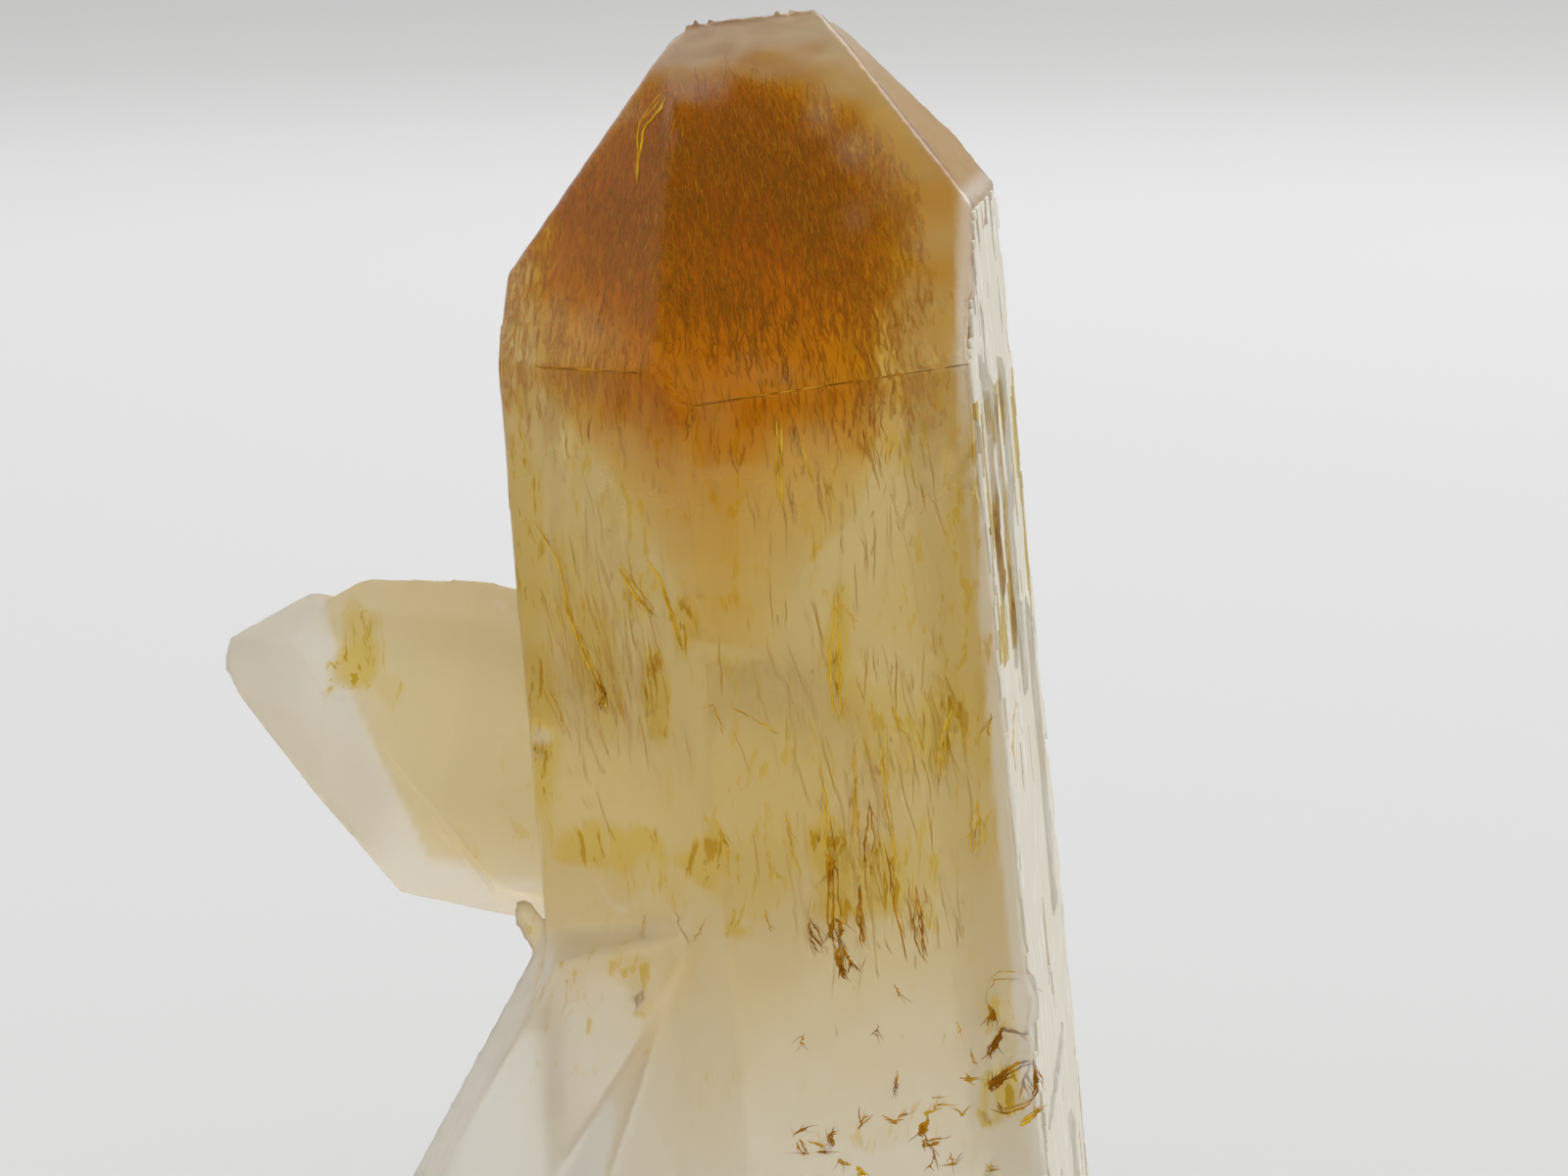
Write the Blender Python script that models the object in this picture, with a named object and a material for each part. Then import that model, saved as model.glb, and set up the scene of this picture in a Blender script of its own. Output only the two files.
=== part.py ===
"""Mango quartz: a cluster of quartz points with amber threads, grown together from one broken root.

Every point is a block cut by the planes of a real quartz crystal: six prism walls, a sixth of a turn
apart, and six tip faces that all rise at the same pitch. Only the distances of the planes differ.
The front of the specimen looks along -Y, and it rests on the plane Z = 0.
"""

import math
import random
from dataclasses import dataclass

import bmesh
import bpy
from mathutils import Matrix, Vector

MM = 0.001
UP = Vector((0.0, 0.0, 1.0))
FRONT = Vector((0.0, -1.0, 0.0))

# Driving dimensions, in millimetres and degrees.
TIP_PITCH = 38.2  # rise of a tip face's normal above the level of the prism walls
BASE_BLOCK = 160.0  # side of the block that cuts the base flat
PLANE_GAP = 1e-7  # metres: how near a corner counts as on a cutting plane


@dataclass
class Point:
    """A quartz point. Lengths in millimetres, angles in degrees.

    rise is the axis's angle above the level, and heading its compass angle from +X towards +Y.
    walls holds the distance of the six prism walls from the axis: the one that looks most towards the
    front, then on round to the viewer's right. spin turns them all about the axis. tips holds the height
    along the axis at which each wall meets its tip face. taper leans the walls inwards, tail is how far
    the crystal runs on behind its root, and blunt the height at which a worn tip ends, if it is worn.
    """

    name: str
    root: tuple
    rise: float
    heading: float
    spin: float
    walls: tuple
    tips: tuple
    taper: float = 0.0
    tail: float = 0.0
    blunt: float = 0.0


MAIN = Point(
    name="quartz_cluster",
    root=(3.69, 0.0, 0.0),
    rise=84.66,
    heading=-159.47,
    spin=19.9,
    walls=(12.76, 12.99, 14.07, 12.30, 12.90, 14.03),
    tips=(57.6, 64.5, 67.0, 63.0, 63.1, 59.2),
    taper=0.92,
    tail=6.0,
)

OTHER_POINTS = (
    Point(
        name="far_side_point",
        root=(-9.9, 10.5, 31.5),
        rise=11.0,
        heading=174.8,
        spin=-14.3,
        walls=(5.9, 7.0, 6.7, 6.0, 5.9, 8.5),
        tips=(15.3, 18.2, 17.8, 16.0, 11.9, 9.8),
        tail=9.0,
        blunt=22.2,
    ),
    Point(
        name="near_side_point",
        root=(-10.9, 8.0, 33.3),
        rise=12.2,
        heading=179.4,
        spin=-6.4,
        walls=(6.4, 10.5, 6.9, 5.0, 8.6, 8.4),
        tips=(7.4, 7.7, 14.0, 14.0, 12.0, 3.3),
        tail=6.0,
        blunt=15.9,
    ),
    Point(
        name="lower_left_point",
        root=(-20.1, -2.1, 3.0),
        rise=60.0,
        heading=-27.7,
        spin=-21.5,
        walls=(3.9, 5.0, 4.5, 4.3, 5.0, 3.8),
        tips=(31.6, 31.0, 31.0, 29.0, 26.0, 26.6),
        tail=8.0,
    ),
    Point(
        name="edge_crystal",
        root=(-12.9, -4.5, 26.6),
        rise=58.0,
        heading=180.0,
        spin=10.0,
        walls=(0.60, 0.65, 0.60, 0.60, 0.65, 0.60),
        tips=(1.6, 1.8, 1.9, 1.7, 1.5, 1.7),
        tail=1.2,
    ),
    Point(
        name="bleb_crystal",
        root=(11.3, -8.6, 24.7),
        rise=-8.0,
        heading=-55.0,
        spin=25.0,
        walls=(1.35, 1.65, 1.40, 1.30, 1.65, 1.40),
        tips=(1.5, 1.9, 1.8, 1.5, 1.6, 1.9),
        tail=2.5,
        blunt=2.6,
    ),
)


@dataclass
class Ledge:
    """A narrow raised step on one wall of the main point, left standing where the wall was etched."""

    wall: int
    across: float  # millimetres from the wall's middle line, to the viewer's right
    height: float  # millimetres up the main point's axis
    width: float
    length: float
    thickness: float = 0.35
    tilt: float = 0.0  # degrees from the main point's axis


LEDGES = (
    Ledge(1, -3.6, 51.0, 0.7, 15.0),
    Ledge(1, -2.0, 56.0, 0.5, 9.0),
    Ledge(1, -0.8, 48.0, 0.8, 18.0),
    Ledge(1, 1.4, 44.0, 0.6, 13.0),
    Ledge(1, 3.0, 52.0, 0.9, 10.0),
    Ledge(1, 4.6, 34.0, 1.2, 20.0),
    Ledge(1, -0.6, 17.7, 0.6, 11.0, 0.25, -73.0),
    Ledge(1, 3.4, 9.0, 1.1, 12.0),
    Ledge(2, -3.0, 30.0, 1.6, 22.0),
    Ledge(2, 2.0, 44.0, 1.0, 16.0),
    Ledge(3, -2.5, 38.0, 1.4, 26.0),
    Ledge(3, 1.8, 50.0, 0.9, 12.0),
    Ledge(4, -4.0, 50.0, 0.9, 12.0),
)


@dataclass
class Lump:
    """A faceted lump: a ball cut by flats. radii are its half sizes, keep how little the flats take off."""

    name: str
    at: tuple
    radii: tuple
    seed: int
    flats: int = 14
    keep: float = 0.72


CHIPS = (
    Lump("summit_chip_1", (-5.6, -1.9, 74.2), (0.9, 1.1, 0.8), 1),
    Lump("summit_chip_2", (-4.6, -2.6, 74.3), (0.8, 0.7, 0.7), 2),
    Lump("summit_chip_3", (-5.4, -3.3, 73.0), (0.6, 0.6, 0.7), 3),
    Lump("summit_chip_4", (-3.3, -1.5, 75.0), (0.9, 1.0, 0.55), 4),
    Lump("summit_chip_5", (-1.2, -0.7, 75.5), (1.0, 1.0, 0.6), 5),
    Lump("summit_chip_6", (2.9, 2.2, 74.9), (1.1, 1.1, 0.7), 6),
    Lump("right_edge_chip", (11.7, -7.7, 45.4), (0.7, 0.8, 1.3), 7),
    Lump("low_pit", (12.0, -10.9, 20.9), (1.15, 1.2, 1.25), 8, 18, 0.85),
)

ROOT_LUMPS = (
    Lump("root_mass", (-3.0, -0.8, 0.0), (22.0, 16.0, 8.4), 11, 46, 0.80),
    Lump("root_left", (-15.5, 3.5, 0.0), (9.0, 9.0, 11.5), 12, 18, 0.60),
    Lump("root_back", (0.5, 8.5, 0.5), (13.0, 8.5, 11.5), 14, 18, 0.60),
    Lump("side_root", (-4.5, 10.6, 30.5), (8.0, 5.6, 9.5), 16, 20, 0.62),
    Lump("edge_bump", (-12.4, -7.9, 37.9), (0.75, 0.8, 0.85), 17, 12),
    Lump("pit_grain", (12.3, -10.0, 20.8), (0.6, 0.6, 0.7), 18, 12),
)


def axis_frame(point):
    """The crystal's placement: local Z along its axis, local X as near to the front as that allows."""
    rise = math.radians(point.rise)
    heading = math.radians(point.heading)
    level = math.cos(rise)
    axis = Vector((level * math.cos(heading), level * math.sin(heading), math.sin(rise)))
    front = (FRONT - axis * FRONT.dot(axis)).normalized()
    turn = Matrix((front, axis.cross(front), axis)).transposed().to_4x4()
    return Matrix.Translation(Vector(point.root) * MM) @ turn


def cut_off(block, at, normal):
    """Removes what lies beyond a plane and closes the block again."""
    everything = block.verts[:] + block.edges[:] + block.faces[:]
    cut = bmesh.ops.bisect_plane(
        block, geom=everything, dist=PLANE_GAP, plane_co=at, plane_no=normal, clear_outer=True
    )
    rim = [part for part in cut["geom_cut"] if isinstance(part, bmesh.types.BMEdge)]
    if rim:
        bmesh.ops.edgeloop_fill(block, edges=rim)


def place(name, block, placement, collection):
    """Makes an object of a block in its local frame, and sets its location and rotation."""
    bmesh.ops.recalc_face_normals(block, faces=block.faces[:])
    mesh = bpy.data.meshes.new(name)
    block.to_mesh(mesh)
    block.free()
    obj = bpy.data.objects.new(name, mesh)
    obj.location = placement.to_translation()
    obj.rotation_euler = placement.to_euler()
    collection.objects.link(obj)
    return obj


def wall_way(point, wall):
    """The level direction, in the crystal's own frame, in which a wall looks."""
    way = math.radians(point.spin + 60 * wall)
    return Vector((math.cos(way), math.sin(way), 0.0))


def make_point(point, collection):
    """A quartz point, cut from a cube by its tail, its walls and its tip faces."""
    block = bmesh.new()
    bmesh.ops.create_cube(block, size=4 * max(point.tips) * MM)
    cut_off(block, -UP * point.tail * MM, -UP)
    if point.blunt:
        cut_off(block, UP * point.blunt * MM, UP)
    lean = math.radians(point.taper)
    pitch = math.radians(TIP_PITCH)
    for wall in range(6):
        out = wall_way(point, wall)
        reach = point.walls[wall]
        tip = point.tips[wall]
        cut_off(block, out * reach * MM, out * math.cos(lean) + UP * math.sin(lean))
        shoulder = out * (reach - tip * math.tan(lean)) + UP * tip
        cut_off(block, shoulder * MM, out * math.cos(pitch) + UP * math.sin(pitch))
    return place(point.name, block, axis_frame(point), collection)


def make_ledge(number, ledge, collection):
    """A long block with sloping ends, set half its thickness into a wall of the main point."""
    block = bmesh.new()
    bmesh.ops.create_cube(block, size=1.0)
    size = Vector((ledge.width, ledge.length, 2 * ledge.thickness))
    for vert in block.verts:
        vert.co = Vector(a * b * MM for a, b in zip(vert.co, size))
        if vert.co.z > 0:
            vert.co.x *= 0.6
            vert.co.y *= 0.8
    out = wall_way(MAIN, ledge.wall)
    lean = math.radians(MAIN.taper)
    normal = out * math.cos(lean) + UP * math.sin(lean)
    along = UP * math.cos(lean) - out * math.sin(lean)
    across = along.cross(normal)
    reach = MAIN.walls[ledge.wall] - ledge.height * math.tan(lean)
    at = (out * reach + UP * ledge.height + across * ledge.across) * MM
    turn = Matrix((across, along, normal)).transposed().to_4x4()
    turn = turn @ Matrix.Rotation(math.radians(ledge.tilt), 4, "Z")
    placement = axis_frame(MAIN) @ Matrix.Translation(at) @ turn
    return place(f"ledge_{number}", block, placement, collection)


def make_lump(lump, collection):
    """A ball stretched to the lump's half sizes and cut by flats at seeded angles and depths."""
    draw = random.Random(lump.seed)
    block = bmesh.new()
    bmesh.ops.create_icosphere(block, subdivisions=2, radius=1.0)
    for _ in range(lump.flats):
        height = draw.uniform(-1.0, 1.0)
        turn = draw.uniform(0.0, 2 * math.pi)
        level = math.sqrt(1 - height * height)
        way = Vector((level * math.cos(turn), level * math.sin(turn), height))
        cut_off(block, way * draw.uniform(lump.keep, 0.95), way)
    bmesh.ops.scale(block, vec=Vector(lump.radii) * MM, verts=block.verts)
    return place(lump.name, block, Matrix.Translation(Vector(lump.at) * MM), collection)


def make_base_cutter(collection):
    """A block whose top is the plane that the specimen rests on."""
    block = bmesh.new()
    bmesh.ops.create_cube(block, size=BASE_BLOCK * MM)
    below = Matrix.Translation(-UP * BASE_BLOCK * MM / 2)
    return place("base_cutter", block, below, collection)


def combine(host, tools, operation):
    """Joins each tool to the host, or cuts it away, with a Boolean on the host."""
    for tool in tools:
        tool.hide_render = True
        tool.display_type = "WIRE"
        modifier = host.modifiers.new(tool.name, "BOOLEAN")
        modifier.operation = operation
        modifier.solver = "EXACT"
        modifier.object = tool


def quartz_material():
    """Clear quartz, warm from the amber threads in it."""
    material = bpy.data.materials.new("mango_quartz")
    material.use_nodes = True
    shader = material.node_tree.nodes["Principled BSDF"]
    shader.inputs["Base Color"].default_value = (0.78, 0.60, 0.30, 1.0)
    shader.inputs["Metallic"].default_value = 0.0
    shader.inputs["Roughness"].default_value = 0.2
    shader.inputs["IOR"].default_value = 1.544
    shader.inputs["Transmission Weight"].default_value = 0.7
    return material


def new_collection(name):
    collection = bpy.data.collections.new(name)
    bpy.context.scene.collection.children.link(collection)
    return collection


def main():
    for obj in list(bpy.data.objects):
        bpy.data.objects.remove(obj)
    specimen = new_collection("mango_quartz")
    joined = new_collection("joined_crystals")
    cutters = new_collection("cutters")

    host = make_point(MAIN, specimen)
    grown = [make_point(point, joined) for point in OTHER_POINTS]
    grown += [make_ledge(number, ledge, joined) for number, ledge in enumerate(LEDGES, 1)]
    roots = [make_lump(lump, joined) for lump in ROOT_LUMPS]
    chips = [make_lump(lump, cutters) for lump in CHIPS]

    combine(host, grown, "UNION")
    combine(host, chips, "DIFFERENCE")
    combine(host, roots, "UNION")
    combine(host, [make_base_cutter(cutters)], "DIFFERENCE")
    host.data.materials.append(quartz_material())


main()
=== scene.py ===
"""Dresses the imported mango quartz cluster: clear warm crystal, amber clouds and fibres in its tip, mineral
threads, a thin crust on its right wall, and the pale studio that it stands in. Laid out as a Blender
add-on and run as a script.

Lengths are millimetres until a mesh is put in, and angles are degrees. The front looks along -Y.
"""

import itertools
import math
from typing import NamedTuple

import bmesh
import bpy
import numpy as np
from bpy.props import FloatProperty, FloatVectorProperty, IntProperty, PointerProperty
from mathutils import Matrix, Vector


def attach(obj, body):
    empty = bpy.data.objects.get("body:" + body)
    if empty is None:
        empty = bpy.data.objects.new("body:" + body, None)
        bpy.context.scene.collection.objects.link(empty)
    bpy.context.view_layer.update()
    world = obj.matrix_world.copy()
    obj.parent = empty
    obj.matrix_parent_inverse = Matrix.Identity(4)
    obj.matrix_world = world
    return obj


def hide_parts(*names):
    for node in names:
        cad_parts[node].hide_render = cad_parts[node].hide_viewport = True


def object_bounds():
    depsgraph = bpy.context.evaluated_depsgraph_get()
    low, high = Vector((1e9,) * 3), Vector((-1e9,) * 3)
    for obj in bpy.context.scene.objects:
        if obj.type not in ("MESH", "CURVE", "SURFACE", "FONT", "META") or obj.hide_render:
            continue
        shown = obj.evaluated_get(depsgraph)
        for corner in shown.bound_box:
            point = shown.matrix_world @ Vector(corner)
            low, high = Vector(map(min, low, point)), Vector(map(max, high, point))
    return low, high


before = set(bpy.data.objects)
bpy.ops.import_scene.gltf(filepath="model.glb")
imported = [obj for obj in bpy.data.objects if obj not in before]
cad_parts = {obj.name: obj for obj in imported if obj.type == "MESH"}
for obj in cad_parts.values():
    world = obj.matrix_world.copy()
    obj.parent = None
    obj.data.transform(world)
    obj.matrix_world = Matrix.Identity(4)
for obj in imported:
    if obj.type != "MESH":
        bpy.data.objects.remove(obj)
CAD_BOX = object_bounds()

bl_info = {
    "name": "Mango quartz cluster",
    "version": (1, 0, 0),
    "blender": (4, 5, 0),
    "location": "3D View > Sidebar > Mango Quartz",
    "description": "Clear quartz points with an amber tip, threads and a thin crust, in a pale studio",
    "category": "Object",
}

MM = 0.001
NODE = "quartz_cluster"
TIP_PITCH = 38.2  # rise of a tip face's normal above the level of the prism walls
WALLS = 6


# The main point's own planes.


class Point(NamedTuple):
    """A quartz point's driving values, the same as in the part's source: where its axis starts, the axis's
    rise and compass angle, the turn of its walls, each wall's distance, the height of the tip face over
    each wall, and how many degrees the walls lean in."""

    root: tuple
    rise: float
    heading: float
    spin: float
    walls: tuple
    tips: tuple
    taper: float


MAIN = Point(
    root=(3.69, 0.0, 0.0),
    rise=84.66,
    heading=-159.47,
    spin=19.9,
    walls=(12.76, 12.99, 14.07, 12.30, 12.90, 14.03),
    tips=(57.6, 64.5, 67.0, 63.0, 63.1, 59.2),
    taper=0.92,
)
FRONT_WALL, RIGHT_WALL, BACK_RIGHT_WALL, BACK_WALL, BACK_LEFT_WALL, LEFT_WALL = range(WALLS)


def unit(rows):
    """Each row divided by its length."""
    return rows / np.linalg.norm(rows, axis=-1, keepdims=True)


def crystal_frame(point):
    """The axis from its rise and heading; the front, which is -Y made square to the axis; and the side,
    which is the cross product of the two and points to the viewer's right."""
    rise, heading = np.radians([point.rise, point.heading])
    axis = np.array([np.cos(rise) * np.cos(heading), np.cos(rise) * np.sin(heading), np.sin(rise)])
    front = unit(np.array([0.0, -1.0, 0.0]) + axis * axis[1])
    return axis, front, np.cross(axis, front)


def wall_directions(point):
    """The six walls' directions, a sixth of a turn apart: front times the cosine of the turn plus side
    times its sine."""
    axis, front, side = crystal_frame(point)
    turn = np.radians(point.spin + 60.0 * np.arange(WALLS))[:, None]
    return np.cos(turn) * front + np.sin(turn) * side


def crystal_planes(point):
    """Normals and distances of the six walls, then of the six tip faces.

    A wall's normal leans up by the taper and its plane passes through the wall's distance at the root.
    A tip face's normal rises at the pitch of quartz, and its plane meets the wall at the tip's height.
    """
    axis, out = crystal_frame(point)[0], wall_directions(point)
    taper, pitch = math.radians(point.taper), math.radians(TIP_PITCH)
    walls, tips = np.array(point.walls)[:, None], np.array(point.tips)[:, None]
    normals = np.vstack(
        [
            math.cos(taper) * out + math.sin(taper) * axis,
            math.cos(pitch) * out + math.sin(pitch) * axis,
        ]
    )
    places = np.array(point.root) + np.vstack(
        [out * walls, out * (walls - tips * math.tan(taper)) + axis * tips]
    )
    return normals, np.sum(normals * places, axis=1)


MAIN_NORMALS, MAIN_DISTANCES = crystal_planes(MAIN)
MAIN_AXIS = crystal_frame(MAIN)[0]


def depths_inside(places, planes):
    """How far each place lies behind each plane: the plane's distance less the place's along its normal."""
    normals, distances = planes
    return distances - places @ normals.T


def skin_place(x, z, depth, towards=-1.0):
    """Places under the main point's skin as seen from the front (towards -1) or the back (1): of the faces
    that look that way, the one met last gives y = (distance - depth - nx x - nz z) / ny."""
    looks = MAIN_NORMALS[:, 1] * towards > 0.05
    normals, distances = MAIN_NORMALS[looks], MAIN_DISTANCES[looks]
    x, z, depth = (np.asarray(value, float)[..., None] for value in (x, z, depth))
    met = (distances - depth - normals[:, 0] * x - normals[:, 2] * z) / normals[:, 1]
    y = met.max(axis=-1) if towards < 0 else met.min(axis=-1)
    return np.stack(np.broadcast_arrays(x[..., 0], y, z[..., 0]), axis=-1)


# Where marks were read from: the front view, 1600 x 1200 points, 0.052 mm each at the axis.
VIEW_POINT = 0.05198
VIEW_MIDDLE = (800.0, 600.0)
VIEW_DISTANCE = 231.0
VIEW_RISE = math.radians(11.0)
VIEW_AIM = np.array([0.0, 0.0, 44.5])


def seen_place(across, down, depth, planes=(MAIN_NORMALS, MAIN_DISTANCES)):
    """Places under the skin at points of the front view. The line of sight through a point enters the body
    at the last of the faces that it meets from outside, each set back by the depth."""
    ahead = np.array([0.0, math.cos(VIEW_RISE), -math.sin(VIEW_RISE)])
    up = np.array([0.0, math.sin(VIEW_RISE), math.cos(VIEW_RISE)])
    eye = VIEW_AIM - VIEW_DISTANCE * ahead
    step = VIEW_POINT / VIEW_DISTANCE
    across, down, depth = (np.asarray(value, float)[..., None] for value in (across, down, depth))
    right = np.array([1.0, 0.0, 0.0])
    sight = ahead + (across - VIEW_MIDDLE[0]) * step * right + (VIEW_MIDDLE[1] - down) * step * up
    normals, distances = planes
    slant = sight @ normals.T
    reach = (distances - depth - normals @ eye) / slant
    reach = np.where(slant < -1e-6, reach, -np.inf).max(axis=-1, keepdims=True)
    return eye + sight * reach


def wall_place(point, wall, across, height, depth):
    """Places at a depth under one wall: root + axis x height + the wall's direction x (its distance less
    the taper's share and the depth) + the level direction along the wall x across."""
    axis = crystal_frame(point)[0]
    out = wall_directions(point)[wall]
    across, height, depth = (np.asarray(value, float)[..., None] for value in (across, height, depth))
    away = point.walls[wall] - height * math.tan(math.radians(point.taper)) - depth
    return np.array(point.root) + axis * height + out * away + np.cross(axis, out) * across


# Noise and meshes.

NOISE_SIDE = 24


def lattice_noise(places, cell, seed):
    """Smooth noise from 0 to 1: seeded random values on a repeating lattice, blended between the eight
    corners round each place by the weight 3t^2 - 2t^3. cell is the lattice's step, or one for each axis."""
    values = np.random.default_rng(seed).random((NOISE_SIDE,) * 3)
    scaled = places / np.asarray(cell, float)
    low = np.floor(scaled).astype(int)
    part = scaled - low
    part = part * part * (3.0 - 2.0 * part)
    total = np.zeros(places.shape[:-1])
    for corner in itertools.product((0, 1), repeat=3):
        at = (low + corner) % NOISE_SIDE
        weight = np.prod(np.where(corner, part, 1.0 - part), axis=-1)
        total += weight * values[at[..., 0], at[..., 1], at[..., 2]]
    return total


def smooth_step(low, high, value):
    """0 below low, 1 above high, and 3t^2 - 2t^3 between."""
    t = np.clip((value - low) / (high - low), 0.0, 1.0)
    return t * t * (3.0 - 2.0 * t)


def add_piece(name, points, faces, material, smooth=True):
    """Puts points in millimetres and faces of one size into a new object at the origin, which rides on
    the specimen and takes its finish slot."""
    mesh = bpy.data.meshes.new(name)
    mesh.vertices.add(len(points))
    mesh.vertices.foreach_set("co", (points * MM).astype(np.float32).ravel())
    mesh.loops.add(faces.size)
    mesh.loops.foreach_set("vertex_index", faces.astype(np.int32).ravel())
    mesh.polygons.add(len(faces))
    mesh.polygons.foreach_set("loop_start", np.arange(0, faces.size, faces.shape[1], dtype=np.int32))
    mesh.polygons.foreach_set("use_smooth", np.full(len(faces), smooth))
    mesh.update(calc_edges=True)
    mesh.validate()
    return carry(bpy.data.objects.new(name, mesh), material)


def carry(obj, material):
    """Gives a finished piece its material and puts it on the specimen's one body."""
    obj.data.materials.clear()
    obj.data.materials.append(material)
    bpy.context.scene.collection.objects.link(obj)
    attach(obj, "root")
    return obj


def strands(paths, widths, depths, across, sides=3):
    """Closed strands. Each carries a many-sided section along its path and runs to a point at both ends.

    Corner c of a section lies at path + across x (width / 2) cos(2 pi c / sides) + up x (depth / 2)
    sin(2 pi c / sides), where across is made square to the path and up is their cross product.
    paths is (count, steps, 3), widths and depths (count, steps), and across (count, 3).
    """
    count, steps = paths.shape[:2]
    rings = steps - 2
    along = unit(np.gradient(paths, axis=1) + 1e-9)
    across = across[:, None, :] - along * np.sum(along * across[:, None, :], axis=2, keepdims=True)
    across = unit(across)
    up = np.cross(along, across)
    turn = 2.0 * np.pi * np.arange(sides) / sides
    section = (
        across[:, 1:-1, None] * (widths[:, 1:-1, None] / 2.0 * np.cos(turn))[..., None]
        + up[:, 1:-1, None] * (depths[:, 1:-1, None] / 2.0 * np.sin(turn))[..., None]
    )
    rows = (paths[:, 1:-1, None] + section).reshape(count, rings * sides, 3)
    points = np.concatenate([paths[:, :1], rows, paths[:, -1:]], axis=1)
    here = np.arange(sides)
    after = (here + 1) % sides
    last = rings * sides + 1
    first_ring, last_ring = 1, 1 + (rings - 1) * sides
    caps = [
        np.stack([np.zeros(sides, int), first_ring + after, first_ring + here], axis=1),
        np.stack([last_ring + here, last_ring + after, np.full(sides, last)], axis=1),
    ]
    ring = (1 + sides * np.arange(rings - 1))[:, None]
    low, low_next = ring + here, ring + after
    high, high_next = low + sides, low_next + sides
    between = [
        np.stack([low, low_next, high_next], axis=2).reshape(-1, 3),
        np.stack([low, high_next, high], axis=2).reshape(-1, 3),
    ]
    pattern = np.concatenate(caps + between)
    faces = pattern[None] + (np.arange(count) * (last + 1))[:, None, None]
    return points.reshape(-1, 3), faces.reshape(-1, 3)


# Shader nodes.


def feed(tree, socket, value):
    """Links a value that is itself a socket, and sets any other."""
    if isinstance(value, bpy.types.NodeSocket):
        tree.links.new(value, socket)
    else:
        socket.default_value = value


def add_node(tree, kind, settings=None, **inputs):
    """Adds a node. settings are its properties; inputs are its sockets by name, with _ for a space, or i
    and a number for one by place."""
    made = tree.nodes.new(kind)
    for name, value in (settings or {}).items():
        setattr(made, name, value)
    for name, value in inputs.items():
        numbered = name[0] == "i" and name[1:].isdigit()
        socket = made.inputs[int(name[1:])] if numbered else made.inputs[name.replace("_", " ")]
        feed(tree, socket, value)
    return made


def maths(tree, operation, first, second):
    """The output of a Math node."""
    settings = {"operation": operation}
    return add_node(tree, "ShaderNodeMath", settings, i0=first, i1=second).outputs[0]


def vector_maths(tree, operation, first, second):
    """The output of a Vector Math node that gives a vector."""
    settings = {"operation": operation}
    return add_node(tree, "ShaderNodeVectorMath", settings, i0=first, i1=second).outputs[0]


def ramp(tree, value, low, high, start=0.0, end=1.0):
    """A smooth step from start at low to end at high."""
    settings = {"interpolation_type": "SMOOTHSTEP"}
    made = add_node(
        tree,
        "ShaderNodeMapRange",
        settings,
        Value=value,
        From_Min=low,
        From_Max=high,
        To_Min=start,
        To_Max=end,
    )
    return made.outputs[0]


def mixed(tree, factor, first, second):
    """The colour output of a Mix node."""
    made = tree.nodes.new("ShaderNodeMix")
    made.data_type = "RGBA"
    for place, value in ((0, factor), (6, first), (7, second)):
        feed(tree, made.inputs[place], value)
    return made.outputs[2]


def noise(tree, place, scale, detail=3.0, roughness=0.55):
    """The grey output of a Noise Texture, from about 0.25 to 0.75."""
    made = add_node(
        tree, "ShaderNodeTexNoise", None, Vector=place, Scale=scale, Detail=detail, Roughness=roughness
    )
    return made.outputs[0]


def new_group(name, inputs, outputs):
    """A shader node group with named sockets, given as (name, type, default)."""
    group = bpy.data.node_groups.new(name, "ShaderNodeTree")
    for in_out, sockets in (("INPUT", inputs), ("OUTPUT", outputs)):
        for label, kind, default in sockets:
            socket = group.interface.new_socket(name=label, in_out=in_out, socket_type=kind)
            socket.default_value = default
    return group, group.nodes.new("NodeGroupInput").outputs, group.nodes.new("NodeGroupOutput").inputs


STREAKS = "growth_streaks"


def streaks_group():
    """A mask of fine streaks that run up the crystal: noise stretched along Z, with its contrast raised.
    The group is made once, and later found by its name."""
    if STREAKS in bpy.data.node_groups:
        return bpy.data.node_groups[STREAKS]
    group, given, result = new_group(
        STREAKS,
        [
            ("Place", "NodeSocketVector", (0.0, 0.0, 0.0)),
            ("Scale", "NodeSocketFloat", 900.0),
            ("Stretch", "NodeSocketFloat", 0.12),
            ("Share", "NodeSocketFloat", 0.5),
        ],
        [("Mask", "NodeSocketFloat", 0.0)],
    )
    bend = add_node(group, "ShaderNodeTexNoise", None, Vector=given["Place"], Scale=160.0, Detail=2.0)
    shift = vector_maths(group, "SUBTRACT", bend.outputs["Color"], (0.5, 0.5, 0.5))
    shift = vector_maths(group, "MULTIPLY", shift, (0.0035, 0.0035, 0.0035))
    place = vector_maths(group, "ADD", given["Place"], shift)
    scale = add_node(group, "ShaderNodeCombineXYZ", None, X=1.0, Y=1.0, Z=given["Stretch"]).outputs[0]
    place = vector_maths(group, "MULTIPLY", place, scale)
    grey = noise(group, place, given["Scale"], 3.0, 0.6)
    low = maths(group, "SUBTRACT", 0.72, maths(group, "MULTIPLY", given["Share"], 0.4))
    high = maths(group, "ADD", low, 0.14)
    group.links.new(ramp(group, grey, low, high), result["Mask"])
    return group


def group_output(tree, group, **inputs):
    """The one output of a node group placed in a tree."""
    made = tree.nodes.new("ShaderNodeGroup")
    made.node_tree = group
    for name, value in inputs.items():
        feed(tree, made.inputs[name], value)
    return made.outputs[0]


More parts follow.
